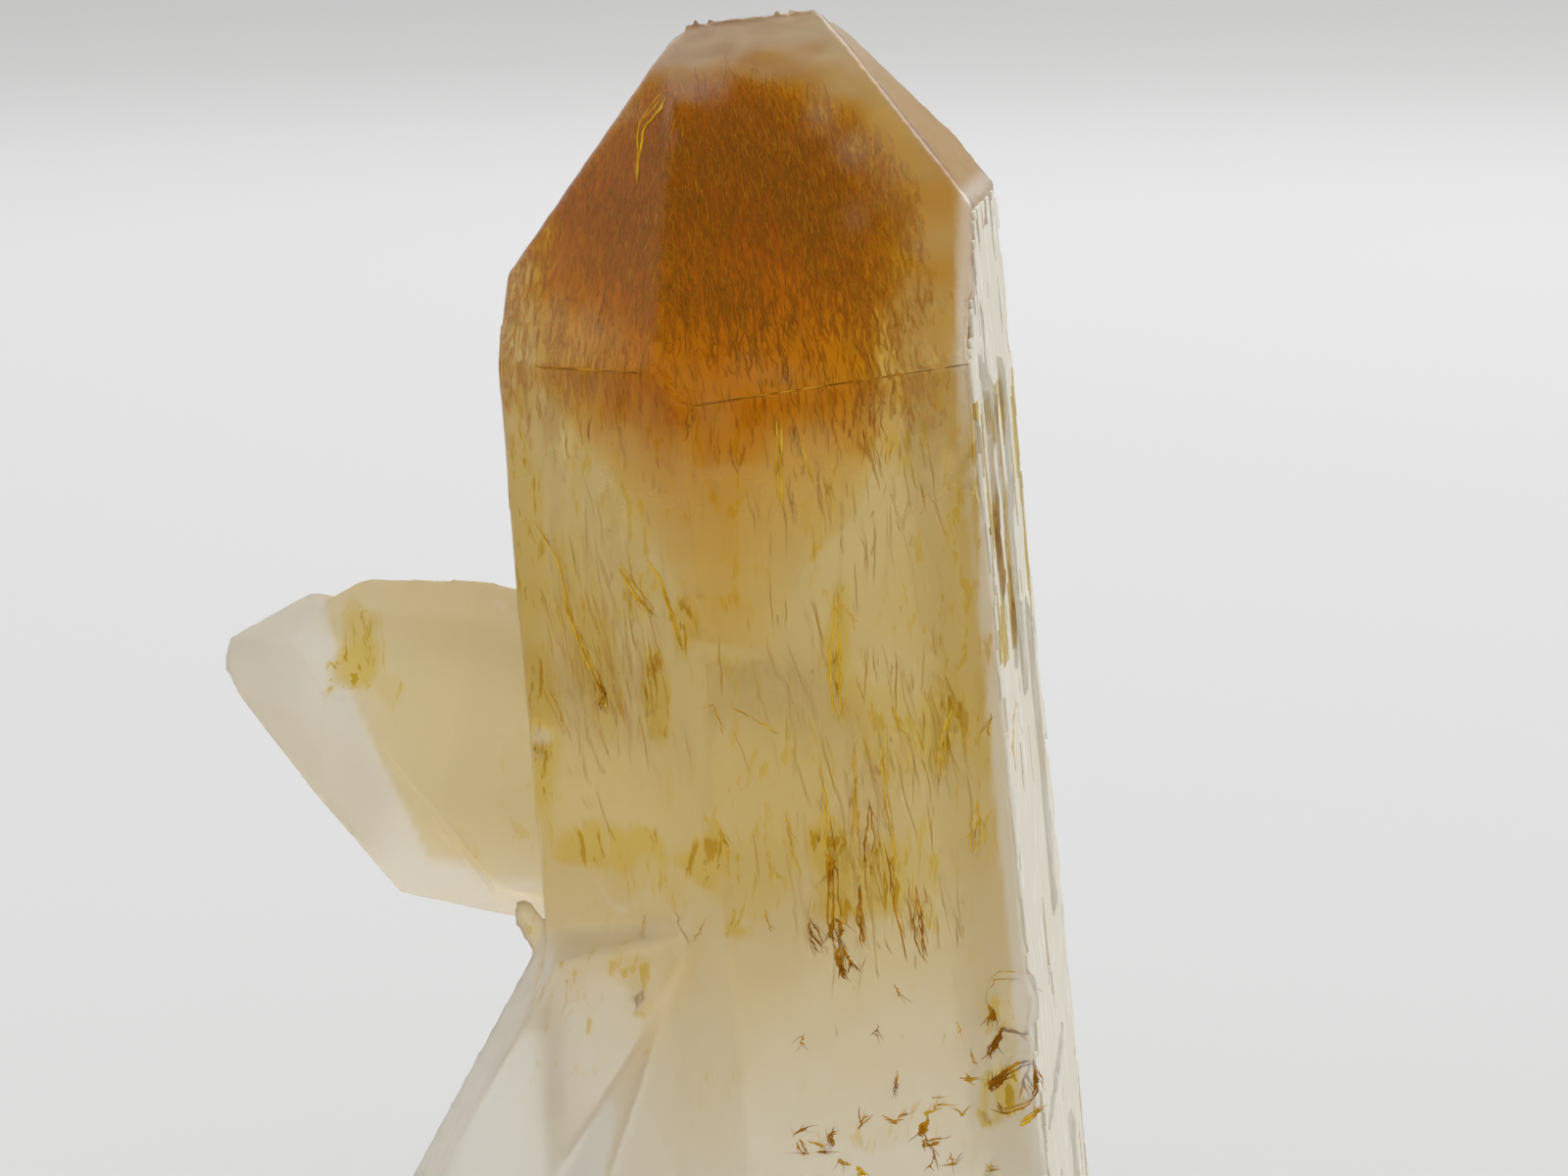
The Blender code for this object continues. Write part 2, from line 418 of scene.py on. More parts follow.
def new_material(name):
    """An empty material, its tree, its surface shader and its output."""
    material = bpy.data.materials.new(name)
    material.use_nodes = True
    tree = material.node_tree
    tree.nodes.clear()
    output = tree.nodes.new("ShaderNodeOutputMaterial")
    shader = tree.nodes.new("ShaderNodeBsdfPrincipled")
    tree.links.new(shader.outputs["BSDF"], output.inputs["Surface"])
    place = tree.nodes.new("ShaderNodeTexCoord").outputs["Object"]
    return material, tree, shader, output, place


def opaque(colour):
    """A colour with full alpha."""
    return (*tuple(colour)[:3], 1.0)


# Ochre stains, as (centre, half sizes, strength), in millimetres.
SIDE_STAINS = (
    ((-23.1, 6.0, 39.0), (2.3, 3.5, 2.4), 1.0),
    ((-23.2, 6.0, 41.0), (2.0, 3.0, 2.0), 0.8),
    ((-21.4, 4.8, 37.6), (1.9, 3.0, 1.5), 0.5),
    ((-14.3, 1.7, 33.0), (2.6, 3.0, 4.8), 0.30),
    ((-18.0, 2.0, 29.5), (3.2, 3.0, 2.0), 0.30),
    ((3.0, -9.0, 57.0), (9.0, 9.0, 3.2), 0.4),
    ((-10.0, 6.0, 56.0), (6.0, 8.0, 4.0), 0.5),
    ((13.0, 4.4, 52.2), (0.9, 2.5, 2.6), 0.9),
    ((11.6, -4.6, 45.2), (0.9, 2.4, 1.5), 1.0),
    ((9.0, 10.0, 47.0), (4.0, 5.0, 9.0), 0.5),
    ((-6.0, 9.0, 44.0), (4.5, 5.0, 7.0), 0.5),
    ((-15.6, -5.6, 18.9), (1.0, 2.0, 0.5), 0.5),
    ((-7.4, -12.9, 26.8), (0.9, 1.5, 1.3), 0.5),
)
# Stains under the front walls, and two rows that paint light near the prism's right edge: the middle and
# half sizes in points of the front view, and the strength.
FRONT_STAINS_AND_PAINTED_LIGHT = (
    (534, 560, 30, 200, 0.75),
    (546, 740, 34, 130, 0.95),
    (740, 425, 210, 60, 0.60),
    (610, 400, 90, 45, 0.45),
    (930, 430, 80, 55, 0.40),
    (606, 670, 40, 85, 0.75),
    (575, 600, 30, 75, 0.55),
    (670, 712, 20, 42, 1.0),
    (698, 645, 17, 38, 0.85),
    (650, 600, 18, 40, 0.65),
    (730, 700, 40, 50, 0.30),
    (857, 655, 13, 84, 0.9),
    (866, 720, 24, 34, 0.7),
    (905, 745, 50, 66, 0.6),
    (962, 730, 28, 54, 0.85),
    (985, 690, 46, 120, 0.55),
    (940, 600, 50, 80, 0.40),
    # painted light: this row and the next paint the golden light that comes through the right wall, at the
    # prism's right edge
    (1000, 740, 30, 64, 0.7),
    (985, 620, 30, 260, 0.5),
    (590, 860, 44, 26, 1.0),
    (650, 868, 52, 22, 1.0),
    (714, 880, 40, 30, 1.0),
    (660, 895, 110, 26, 0.55),
    (775, 880, 66, 56, 0.6),
    (754, 947, 11, 26, 1.0),
    (850, 885, 28, 64, 1.0),
    (900, 893, 38, 44, 0.9),
    (938, 905, 30, 50, 0.6),
    (790, 790, 90, 90, 0.42),
    (660, 780, 90, 60, 0.22),
    (1000, 850, 44, 64, 0.4),
    (955, 870, 40, 60, 0.35),
    (558, 996, 14, 30, 0.6),
    (655, 1010, 12, 28, 0.6),
    (540, 945, 18, 30, 0.5),
    (1027, 1117, 28, 30, 1.0),
    (1022, 1028, 26, 34, 0.55),
    (900, 1160, 120, 26, 0.3),
)


STAIN_DEPTH = 2.5
STAIN_SPREAD = 1.25


def seen_stains_and_painted_light():
    """The front stains, with the painted light near the prism's right edge, as rows in millimetres: each
    middle is put on the skin, and the half sizes are the given ones x the size of a view point, with one
    depth for all, and all three x the spread."""
    rows = np.array(FRONT_STAINS_AND_PAINTED_LIGHT, float)
    middle = seen_place(rows[:, 0], rows[:, 1], np.zeros(len(rows)))
    depth = np.full(len(rows), STAIN_DEPTH)
    half = np.stack([rows[:, 2] * VIEW_POINT, depth, rows[:, 3] * VIEW_POINT], axis=1) * STAIN_SPREAD
    return list(zip(middle, half, rows[:, 4]))


# White frost, in the same way as the side stains.
FROST_PATCHES = (
    ((-8.4, -10.4, 30.3), (2.6, 2.5, 0.35), 0.55),
    ((-5.2, -12.6, 31.0), (1.6, 2.5, 0.30), 0.55),
    ((-8.75, -9.0, 22.2), (0.45, 2.0, 1.5), 0.7),
    ((-7.6, -10.0, 25.0), (0.5, 1.5, 0.35), 0.6),
    ((-25.3, 7.5, 43.6), (1.1, 4.0, 2.6), 0.35),
    ((-23.4, 7.0, 44.2), (0.7, 4.0, 2.2), 0.35),
    ((-19.0, 5.0, 44.5), (0.9, 4.0, 0.8), 0.5),
    ((-15.4, 4.0, 42.5), (0.8, 4.0, 0.7), 0.5),
    ((-12.3, -8.3, 37.9), (0.7, 1.5, 0.8), 0.8),
    ((-12.9, -6.0, 29.0), (0.5, 2.5, 0.8), 0.8),
    ((12.3, -10.0, 24.5), (1.2, 1.5, 1.4), 0.35),
    ((11.5, -10.5, 19.7), (0.35, 1.0, 0.4), 0.8),
    ((12.5, -10.1, 20.6), (0.25, 1.0, 0.3), 0.8),
    ((-5.6, -4.5, 70.3), (0.45, 3.0, 3.4), 0.35),
    ((-8.6, -9.9, 17.2), (1.0, 1.5, 0.9), 0.8),
)


def patch_mask(places, rows, softness):
    """At each place the strongest of the soft ellipsoids in the rows: strength x the smooth step of the
    distance from the centre, in half sizes, from 1 down to 1 - softness."""
    strongest = np.zeros(len(places))
    for centre, half, strength in rows:
        away = np.linalg.norm((places - np.array(centre)) / np.array(half), axis=1)
        strongest = np.maximum(strongest, strength * smooth_step(1.0, 1.0 - softness, away))
    return strongest


def slit_share(places):
    """The upright slits in the right wall's crust: noise drawn out thirteen times along Z, raised to its
    top share and faded out above and below the middle of the wall."""
    drawn = lattice_noise(places, (0.8, 0.8, 10.0), 37) * 0.7
    drawn += lattice_noise(places, (0.5, 0.5, 2.5), 38) * 0.3
    z = places[:, 2]
    return smooth_step(0.50, 0.58, drawn) * smooth_step(40.0, 44.5, z) * smooth_step(58.5, 53.5, z)


def face_zone(places, face):
    """1 on one face of the main point, and 0 from 0.9 mm behind it."""
    return smooth_step(0.9, 0.5, MAIN_DISTANCES[face] - places @ MAIN_NORMALS[face])


# The faces that growth left bright: the front and left walls and the tip faces above them.
SMOOTH_FACES = (FRONT_WALL, LEFT_WALL, FRONT_WALL + WALLS, LEFT_WALL + WALLS)


# How far noise moves a place across, in depth and up, for the wide masks and for the stains.
RAGGED = np.array([2.4, 2.4, 4.0])
TORN = np.array([0.9, 0.9, 2.4])


def body_masks(places):
    """Where the body is cream, stained or painted with light, frosted, glowing amber, etched and bright,
    each from 0 to 1.

    Every mask is a product of smooth steps of the place, in most of them after noise has moved it by up
    to 2 mm. The streaks are noise drawn out twelve times along Z, raised to its top share.
    """
    shift = np.stack([lattice_noise(places, 1.7, seed) for seed in (31, 32, 33)], axis=1) - 0.5
    ragged = places + shift * RAGGED
    torn = places + shift * TORN
    x, z = ragged[:, 0], ragged[:, 2]
    # The main point, paler towards its foot and its summit.
    prism = smooth_step(6.0, 36.0, z) * smooth_step(-15.5, -12.5, x)
    prism = prism * (0.55 + 0.45 * smooth_step(73.0, 64.0, z))
    # The side points, up to a slanting plane that leaves their ends clear.
    beside = smooth_step(-12.2, -13.0, places[:, 0]) * smooth_step(27.2, 28.5, places[:, 2])
    near = beside * smooth_step(-8.3, -7.8, places[:, 0] + 0.413 * places[:, 2])
    streaks = lattice_noise(ragged, (1.1, 1.1, 13.0), 34) * 0.6
    streaks += lattice_noise(ragged, (0.5, 0.5, 6.0), 35) * 0.4
    patches = smooth_step(0.30, 0.62, lattice_noise(places, (5.0, 5.0, 7.0), 36))
    streaks = smooth_step(0.48, 0.66, streaks) * patches
    # The right wall up to its tip face, which has a crust in place of stains.
    right = face_zone(places, RIGHT_WALL) * smooth_step(67.0, 65.5, places[:, 2])
    slits = slit_share(places) * right
    # real stains, and the painted golden light near the prism's right edge
    stain_and_painted_light = patch_mask(torn, [*SIDE_STAINS, *seen_stains_and_painted_light()], 0.6)
    stain_and_painted_light = np.maximum(stain_and_painted_light, 0.50 * prism * streaks * smooth_step(66.0, 58.0, z))
    stain_and_painted_light = np.maximum(stain_and_painted_light * (1.0 - right), 0.85 * slits)
    # The tip, except for its clear cap, its right tip face and its lower corners on both sides.
    right_tip = RIGHT_WALL + WALLS
    behind_right_tip = MAIN_DISTANCES[right_tip] - ragged @ MAIN_NORMALS[right_tip]
    glow = smooth_step(52.0, 59.0, z) * smooth_step(72.6, 70.0, z) * smooth_step(0.3, 3.8, behind_right_tip)
    glow = glow * (1.0 - 0.55 * smooth_step(-7.0, -10.5, x) * smooth_step(63.0, 59.0, z))
    glow = glow * (1.0 - 0.40 * smooth_step(3.5, 8.0, x) * smooth_step(63.5, 59.0, z))
    lower_left = smooth_step(28.0, 26.0, places[:, 2]) * smooth_step(-5.0, -9.0, places[:, 0])
    bright = np.max([face_zone(places, face) for face in SMOOTH_FACES], axis=0)
    bright = bright * (0.55 + 0.45 * smooth_step(50.0, 57.0, z))
    return {
        "cream": np.maximum(prism * (1.0 - 0.8 * lower_left), 0.80 * near) * (1.0 - 0.85 * right),
        "stain_and_painted_light": stain_and_painted_light,
        "frost": np.maximum(patch_mask(ragged, FROST_PATCHES, 0.6), 0.8 * right * (1.0 - slits)),
        "glow": glow * (1.0 - right),
        "etched": right * (1.0 - 0.8 * slits),
        "bright": bright,
    }


def keep_masks(mesh, masks):
    """Keeps each mask on the mesh as a number for each of its points."""
    for name, values in masks.items():
        layer = mesh.attributes.new(name, "FLOAT", "POINT")
        layer.data.foreach_set("value", values.astype(np.float32))


def warm_quartz(streaks, colours):
    """Clear crystal by plain transmission and absorption. The masks take its colour from clear to cream,
    gold and ochre, then to amber and frost, and make the smooth faces bright and the rest rough."""
    material, tree, shader, output, place = new_material("warm_quartz")
    masks = {}
    for name in ("cream", "stain_and_painted_light", "frost", "glow", "etched", "bright"):
        settings = {"attribute_name": name}
        masks[name] = add_node(tree, "ShaderNodeAttribute", settings).outputs["Fac"]
    fine = group_output(tree, streaks, Place=place, Scale=2000.0, Stretch=0.18, Share=0.5)
    grain = noise(tree, place, 900.0, 3.0)

    colour = mixed(tree, masks["cream"], opaque(colours.clear), opaque(colours.cream))
    # this mask holds real stains and the painted golden light at the prism's right edge
    stain_and_painted_light = maths(tree, "MULTIPLY", masks["stain_and_painted_light"], ramp(tree, fine, 0.0, 1.0, 0.55, 1.35))
    colour = mixed(tree, ramp(tree, stain_and_painted_light, 0.06, 0.60), colour, opaque(colours.gold))
    colour = mixed(tree, ramp(tree, stain_and_painted_light, 0.55, 1.15), colour, opaque(colours.ochre))
    colour = mixed(tree, masks["glow"], colour, opaque(colours.amber))
    frost = maths(tree, "MULTIPLY", masks["frost"], ramp(tree, grain, 0.35, 0.65, 0.6, 1.0))
    colour = mixed(tree, frost, colour, opaque(colours.frost))

    rough = ramp(tree, grain, 0.35, 0.75, 0.56, 0.68)
    polished = ramp(tree, grain, 0.35, 0.75, 0.08, 0.14)
    settings = {"data_type": "FLOAT"}
    rough = add_node(tree, "ShaderNodeMix", settings, i0=masks["bright"], i2=rough, i3=polished).outputs[0]
    tree.links.new(colour, shader.inputs["Base Color"])
    tree.links.new(rough, shader.inputs["Roughness"])
    tree.links.new(masks["etched"], shader.inputs["Coat Weight"])
    shader.inputs["Coat IOR"].default_value = 2.0
    shader.inputs["Coat Roughness"].default_value = 0.35
    shader.inputs["IOR"].default_value = 1.544
    shader.inputs["Transmission Weight"].default_value = 0.86
    shader.inputs["Specular IOR Level"].default_value = 0.3
    shader.inputs["Specular Tint"].default_value = (0.18, 0.13, 0.05, 1.0)
    inside = tree.nodes.new("ShaderNodeVolumeAbsorption")
    inside.inputs["Color"].default_value = opaque(colours.depth)
    inside.inputs["Density"].default_value = colours.depth_density
    tree.links.new(inside.outputs[0], output.inputs["Volume"])
    return material


def strand_material(name, dark, light):
    """A strand's two tones, mixed by noise, with a roughness that follows it."""
    material, tree, shader, output, place = new_material(name)
    tone = ramp(tree, noise(tree, place, 700.0, 3.0), 0.35, 0.65)
    tree.links.new(mixed(tree, tone, opaque(dark), opaque(light)), shader.inputs["Base Color"])
    tree.links.new(ramp(tree, tone, 0.0, 1.0, 0.55, 0.7), shader.inputs["Roughness"])
    shader.inputs["Specular IOR Level"].default_value = 0.02
    return material


# What a user may change.


class MangoQuartzSizes(bpy.types.PropertyGroup):
    """Sizes and counts of the crystal's pieces."""

    face_step: FloatProperty(
        name="Face step",
        description="Side of the small faces that the crystal's surface is made of",
        default=0.00038,
        min=0.0002,
        unit="LENGTH",
        subtype="DISTANCE",
    )
    ridge_depth: FloatProperty(
        name="Ridge depth",
        description="How deep the upright etched ridges of the right wall are",
        default=0.00028,
        min=0.0,
        unit="LENGTH",
        subtype="DISTANCE",
    )
    fibres: IntProperty(
        name="Tip fibres",
        description="Most fibres that each of the three tones of the amber tip has",
        default=3500,
        min=100,
        max=16000,
    )
    fibre_width: FloatProperty(
        name="Fibre width",
        description="Width of the widest fibres in the amber tip",
        default=0.00017,
        min=0.00002,
        unit="LENGTH",
        subtype="DISTANCE",
    )
    crust_cell: FloatProperty(
        name="Crust cell",
        description="Width of one cell of the right wall's white crust",
        default=0.0002,
        min=0.0001,
        unit="LENGTH",
        subtype="DISTANCE",
    )
    crust_rise: FloatProperty(
        name="Crust rise",
        description="How far the white crust stands out of the right wall at most; the ochre one is thicker",
        default=0.00003,
        min=0.00001,
        unit="LENGTH",
        subtype="DISTANCE",
    )
    threads: IntProperty(
        name="Threads",
        description="Fine threads under the prism walls",
        default=700,
        min=10,
    )


class MangoQuartzColours(bpy.types.PropertyGroup):
    """Colours of the crystal and of what grows in it."""

    clear: FloatVectorProperty(
        name="Clear crystal",
        description="Tint of the clearest crystal",
        default=(0.99, 0.975, 0.93),
        subtype="COLOR",
        min=0.0,
        max=1.0,
    )
    cream: FloatVectorProperty(
        name="Cream",
        description="Tint of the prism between the base and the tip",
        default=(0.82, 0.67, 0.33),
        subtype="COLOR",
        min=0.0,
        max=1.0,
    )
    # the golden stain and the ochre below also paint the light near the prism's right edge
    gold: FloatVectorProperty(
        name="Golden stain",
        description="Colour of the thin golden stains round the ochre ones",
        default=(0.76, 0.55, 0.09),
        subtype="COLOR",
        min=0.0,
        max=1.0,
    )
    ochre: FloatVectorProperty(
        name="Ochre",
        description="Tint of the streaks and stains",
        default=(0.52, 0.265, 0.004),
        subtype="COLOR",
        min=0.0,
        max=1.0,
    )
    amber: FloatVectorProperty(
        name="Amber",
        description="Tint of the deepest part of the tip",
        default=(0.74, 0.36, 0.0),
        subtype="COLOR",
        min=0.0,
        max=1.0,
    )
    frost: FloatVectorProperty(
        name="Frost",
        description="Tint of the white frosted places",
        default=(0.97, 0.95, 0.89),
        subtype="COLOR",
        min=0.0,
        max=1.0,
    )
    depth: FloatVectorProperty(
        name="Depth colour",
        description="Colour that light takes as it passes through the crystal",
        default=(0.76, 0.58, 0.22),
        subtype="COLOR",
        min=0.0,
        max=1.0,
    )
    depth_density: FloatProperty(
        name="Depth density",
        description="How quickly the depth colour builds up, per metre",
        default=16.0,
        min=0.0,
    )
    haze: FloatVectorProperty(
        name="Amber haze",
        description="Colour that light takes between the fibres of the tip",
        default=(0.94, 0.74, 0.06),
        subtype="COLOR",
        min=0.0,
        max=1.0,
    )
    haze_density: FloatProperty(
        name="Haze density",
        description="How quickly the amber haze builds up, per metre",
        default=600.0,
        min=0.0,
    )
    heart: FloatVectorProperty(
        name="Amber heart",
        description="Colour that light takes in the deepest part of the tip",
        default=(0.88, 0.44, 0.0),
        subtype="COLOR",
        min=0.0,
        max=1.0,
    )
    heart_density: FloatProperty(
        name="Heart density",
        description="How quickly the heart's colour builds up, per metre",
        default=95.0,
        min=0.0,
    )


class MangoQuartzStudio(bpy.types.PropertyGroup):
    """The floor, the light and the camera."""

    room_behind: FloatProperty(
        name="Room light behind",
        description="Brightness of the even light that comes from behind the specimen",
        default=1.20,
        min=0.0,
    )
    room_before: FloatProperty(
        name="Room light in front",
        description="Brightness of the even light that comes from the front",
        default=0.82,
        min=0.0,
    )
    box_power: FloatProperty(
        name="Soft box power",
        description="Power of the large soft light above and behind",
        default=3.4,
        min=0.0,
        unit="POWER",
    )
    lens: FloatProperty(
        name="Lens",
        description="Focal length of the camera, in millimetres",
        default=100.0,
        min=1.0,
    )
    distance: FloatProperty(
        name="Camera distance",
        description="From the middle of the specimen to the camera",
        default=VIEW_DISTANCE * MM,
        min=0.05,
        unit="LENGTH",
        subtype="DISTANCE",
    )
    elevation: FloatProperty(
        name="Camera rise",
        description="Angle of the camera above the level",
        default=VIEW_RISE,
        unit="ROTATION",
        subtype="ANGLE",
    )


# The clear crystal.

MOST_QUADS = 99000
FACE_REACH = 0.5  # how far off a face's plane the surface may lie and still take its relief
LINE_DEPTH = 0.022
WAVE_DEPTH = 0.03
PIT_DEPTH = 0.10
SUMMIT_CHIP = (-5.3, -2.2, 73.6)
CHIP_DEPTH = 0.10
ROOT_TOP = 9.0
ROOT_FADE = 4.0
SHELL_CENTRE = (-20.0, -22.0, -4.0)  # what the shell-shaped breaks of the root curve round
FOOT = 0.12  # what lies below this height is set level on the ground


def vertex_rows(mesh, name):
    """Three numbers for each of the mesh's points: co gives its place and normal its direction."""
    values = np.empty(len(mesh.vertices) * 3, np.float32)
    mesh.vertices.foreach_get(name, values)
    return values.reshape(-1, 3).astype(float)


def even_surface(step):
    """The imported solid's surface, its doubles merged, made into small even faces by a voxel remesh."""
    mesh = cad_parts[NODE].data.copy()
    block = bmesh.new()
    block.from_mesh(mesh)
    bmesh.ops.remove_doubles(block, verts=block.verts[:], dist=1e-6)
    block.to_mesh(mesh)
    block.free()
    source = bpy.data.objects.new("solid_copy", mesh)
    bpy.context.scene.collection.objects.link(source)
    remesh = source.modifiers.new("even_faces", "REMESH")
    remesh.mode = "VOXEL"
    remesh.voxel_size = step
    remesh.use_smooth_shade = True
    ready = source.evaluated_get(bpy.context.evaluated_depsgraph_get())
    even = bpy.data.meshes.new_from_object(ready)
    even.name = "clear_quartz"
    bpy.data.objects.remove(source)
    return even


def weather(mesh, ridge_depth):
    """Moves the surface inwards only, by depth x noise from 0 to 1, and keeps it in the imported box.

    The main point gets faint waves, its walls growth lines and low pits, its right wall upright ridges,
    and its summit small chips. The root gets a rough break with shells, which are |sin| of the distance
    from one centre.
    """
    places = vertex_rows(mesh, "co") / MM
    outward = vertex_rows(mesh, "normal")

    depths = depths_inside(places, (MAIN_NORMALS, MAIN_DISTANCES))
    nearest = np.abs(depths).argmin(axis=1)
    gap = depths[np.arange(len(places)), nearest]
    faces_out = np.sum(outward * MAIN_NORMALS[nearest], axis=1)
    on_main = (np.abs(gap) < FACE_REACH) & (faces_out > 0.6)
    height = (places - np.array(MAIN.root)) @ MAIN_AXIS

    level = np.stack([height, np.zeros_like(height), nearest * 7.3], axis=1)
    level[:, 0] += lattice_noise(places, 6.0, 21) * 1.6
    lines = lattice_noise(level, 0.85, 22) * 0.6 + lattice_noise(level, 2.3, 23) * 0.4
    waves = lattice_noise(places, (3.0, 3.0, 5.0), 24)
    wall = nearest < WALLS
    lower = np.where(wall, LINE_DEPTH * lines, 0.0) + WAVE_DEPTH * waves

    upright = smooth_step(0.42, 0.62, lattice_noise(places, (0.62, 0.62, 11.0), 25))
    etched = 0.25 + 0.75 * (smooth_step(24.0, 40.0, height) * (1.0 - smooth_step(60.0, 65.0, height)))
    lower += np.where(nearest == RIGHT_WALL, ridge_depth / MM * upright * etched, 0.0)
    pits = smooth_step(0.63, 0.74, lattice_noise(places, (0.8, 0.8, 1.1), 26))
    lower += np.where(wall, PIT_DEPTH * pits * smooth_step(30.0, 16.0, height), 0.0)
    from_chip = np.linalg.norm(places - np.array(SUMMIT_CHIP), axis=1)
    summit = smooth_step(73.0, 74.2, places[:, 2]) + smooth_step(2.2, 1.2, from_chip)
    lower += CHIP_DEPTH * np.clip(summit, 0.0, 1.0) * lattice_noise(places, 0.9, 27)
    places -= outward * np.where(on_main, lower, 0.0)[:, None]

    loose = (~on_main) & (places[:, 2] < ROOT_TOP + ROOT_FADE)
    broken = 0.30 * lattice_noise(places, 2.4, 28) + 0.16 * lattice_noise(places, 0.9, 29)
    shells = np.abs(np.sin(1.9 * np.linalg.norm(places - np.array(SHELL_CENTRE), axis=1)))
    broken += 0.10 * shells * lattice_noise(places, 6.0, 30)
    broken *= smooth_step(ROOT_TOP + ROOT_FADE, ROOT_TOP, places[:, 2])
    places -= outward * np.where(loose, broken, 0.0)[:, None]

    lowest, highest = (np.array(corner) / MM for corner in CAD_BOX)
    places = np.clip(places, lowest, highest)
    places[places[:, 2] < FOOT, 2] = 0.0
    mesh.vertices.foreach_set("co", (places * MM).astype(np.float32).ravel())
    mesh.update()


class GrowClearQuartz(bpy.types.Operator):
    """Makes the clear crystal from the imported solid"""

    bl_idname = "mango_quartz.clear_quartz"
    bl_label = "Grow clear quartz"

    def execute(self, context):
        sizes, colours = context.scene.mango_quartz_sizes, context.scene.mango_quartz_colours
        mesh = even_surface(sizes.face_step)
        if not 1000 < len(mesh.polygons) < MOST_QUADS:
            raise RuntimeError(f"the face step gives {len(mesh.polygons)} faces")
        weather(mesh, sizes.ridge_depth)
        mesh.polygons.foreach_set("use_smooth", np.full(len(mesh.polygons), True))
        keep_masks(mesh, body_masks(vertex_rows(mesh, "co") / MM))
        piece = bpy.data.objects.new("clear_quartz", mesh)
        carry(piece, warm_quartz(streaks_group(), colours))
        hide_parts(NODE)
        return {"FINISHED"}


# The amber tip.

# How thick the clear crystal outside the amber cloud is, for the six walls and then the six tip faces.
CLEAR_LAYERS = np.array([0.45, 5.0, 3.0, 0.8, 0.4, 0.80, 0.22, 4.6, 3.4, 1.6, 0.5, 0.18])
TIP_BOX = ((-14.0, -16.0, 51.0), (14.0, 15.0, 74.0))  # where fibres are tried


def tip_places(random, count, focus):
    """Seeded places in the amber cloud under the tip faces.

    The cloud's own distance below its faces is the least of (depth - that face's clear layer). A place is
    kept with the chance exp(-distance / 2.2) x a rise with height x a fall towards the summit x its
    nearness to the cloud's heart, which counts for as much as the focus.
    """
    found = np.zeros((0, 3))
    while len(found) < count:
        tried = random.uniform(*TIP_BOX, (count * 12, 3))
        depth = depths_inside(tried, (MAIN_NORMALS, MAIN_DISTANCES))
        below = (depth - CLEAR_LAYERS).min(axis=1)
        z = tried[:, 2]
        heart = smooth_step(1.2, 0.25, np.hypot((tried[:, 0] + 2.2) / 9.0, (z - 64.5) / 7.5))
        chance = np.exp(-below / 2.2) * smooth_step(51.0, 60.0, z) * (1.0 - smooth_step(69.0, 73.0, z))
        chance *= 1.0 - focus * (1.0 - heart)
        clouds = smooth_step(0.25, 0.75, lattice_noise(tried, (2.4, 2.4, 4.5), 41))
        chance *= 0.3 + 0.7 * clouds
        kept = (below > 0.0) & (random.random(len(tried)) < chance)
        found = np.concatenate([found, tried[kept]])
    return found[:count]


def fibre_paths(random, places, shortest, longest, spread, steps):
    """Slightly bent paths about each place, nearly along the main point's axis: the axis plus a normally
    spread lean, and a bow of t (1 - t) across it."""
    count = len(places)
    way = unit(MAIN_AXIS + random.normal(0.0, spread, (count, 3)))
    length = random.uniform(shortest, longest, (count, 1, 1)) * random.uniform(0.6, 1.0, (count, 1, 1))
    t = np.linspace(0.0, 1.0, steps)[None, :, None]
    bow = random.normal(0.0, 0.10, (count, 1, 3)) * length
    return places[:, None] + way[:, None] * length * (t - 0.5) + bow * 4.0 * t * (1.0 - t)


def kept_inside(paths, least=0.06):
    """Which paths stay behind every face of the main point."""
    depth = depths_inside(paths.reshape(-1, 3), (MAIN_NORMALS, MAIN_DISTANCES)).min(axis=1)
    return depth.reshape(paths.shape[:2]).min(axis=1) > least


# Name, seed, the two tones, the shortest and longest fibre, the share of the fibres and the focus.
TIP_TONES = (
    ("tip_fibres_dark", 51, (0.62, 0.22, 0.0), (0.86, 0.38, 0.002), 0.7, 2.6, 0.8, 0.94),
    ("tip_fibres_amber", 52, (0.90, 0.40, 0.002), (0.98, 0.56, 0.01), 0.6, 2.2, 1.0, 0.75),
    ("tip_fibres_pale", 53, (0.97, 0.62, 0.03), (0.99, 0.76, 0.12), 0.6, 1.8, 1.0, 0.30),
)


class Cloud(NamedTuple):
    """An amber cloud: its top and foot, how far it keeps behind each clear layer, and its depth, which is
    given at a few heights and joined smoothly."""

    top: float
    foot: float
    inset: tuple
    heights: tuple
    depths: tuple


OUTER_CLOUD = Cloud(
    71.8,
    44.0,
    (0.0,) * 12,
    (44.0, 48.0, 52.0, 56.0, 60.0, 63.0, 66.0, 69.0, 71.0, 71.8),
    (0.25, 1.0, 3.2, 7.0, 11.0, 13.0, 11.5, 6.5, 2.2, 0.6),
)
HEART_CLOUD = Cloud(
    70.0,
    56.0,
    (0.6, 2.0, 1.0, 1.0, 3.0, 2.6, 0.6, 2.2, 1.0, 1.0, 3.0, 2.6),
    (56.0, 58.0, 60.5, 63.0, 65.5, 68.0, 70.0),
    (0.2, 2.0, 5.5, 8.0, 7.5, 3.5, 0.3),
)
CLOUD_BLEND = 7.0


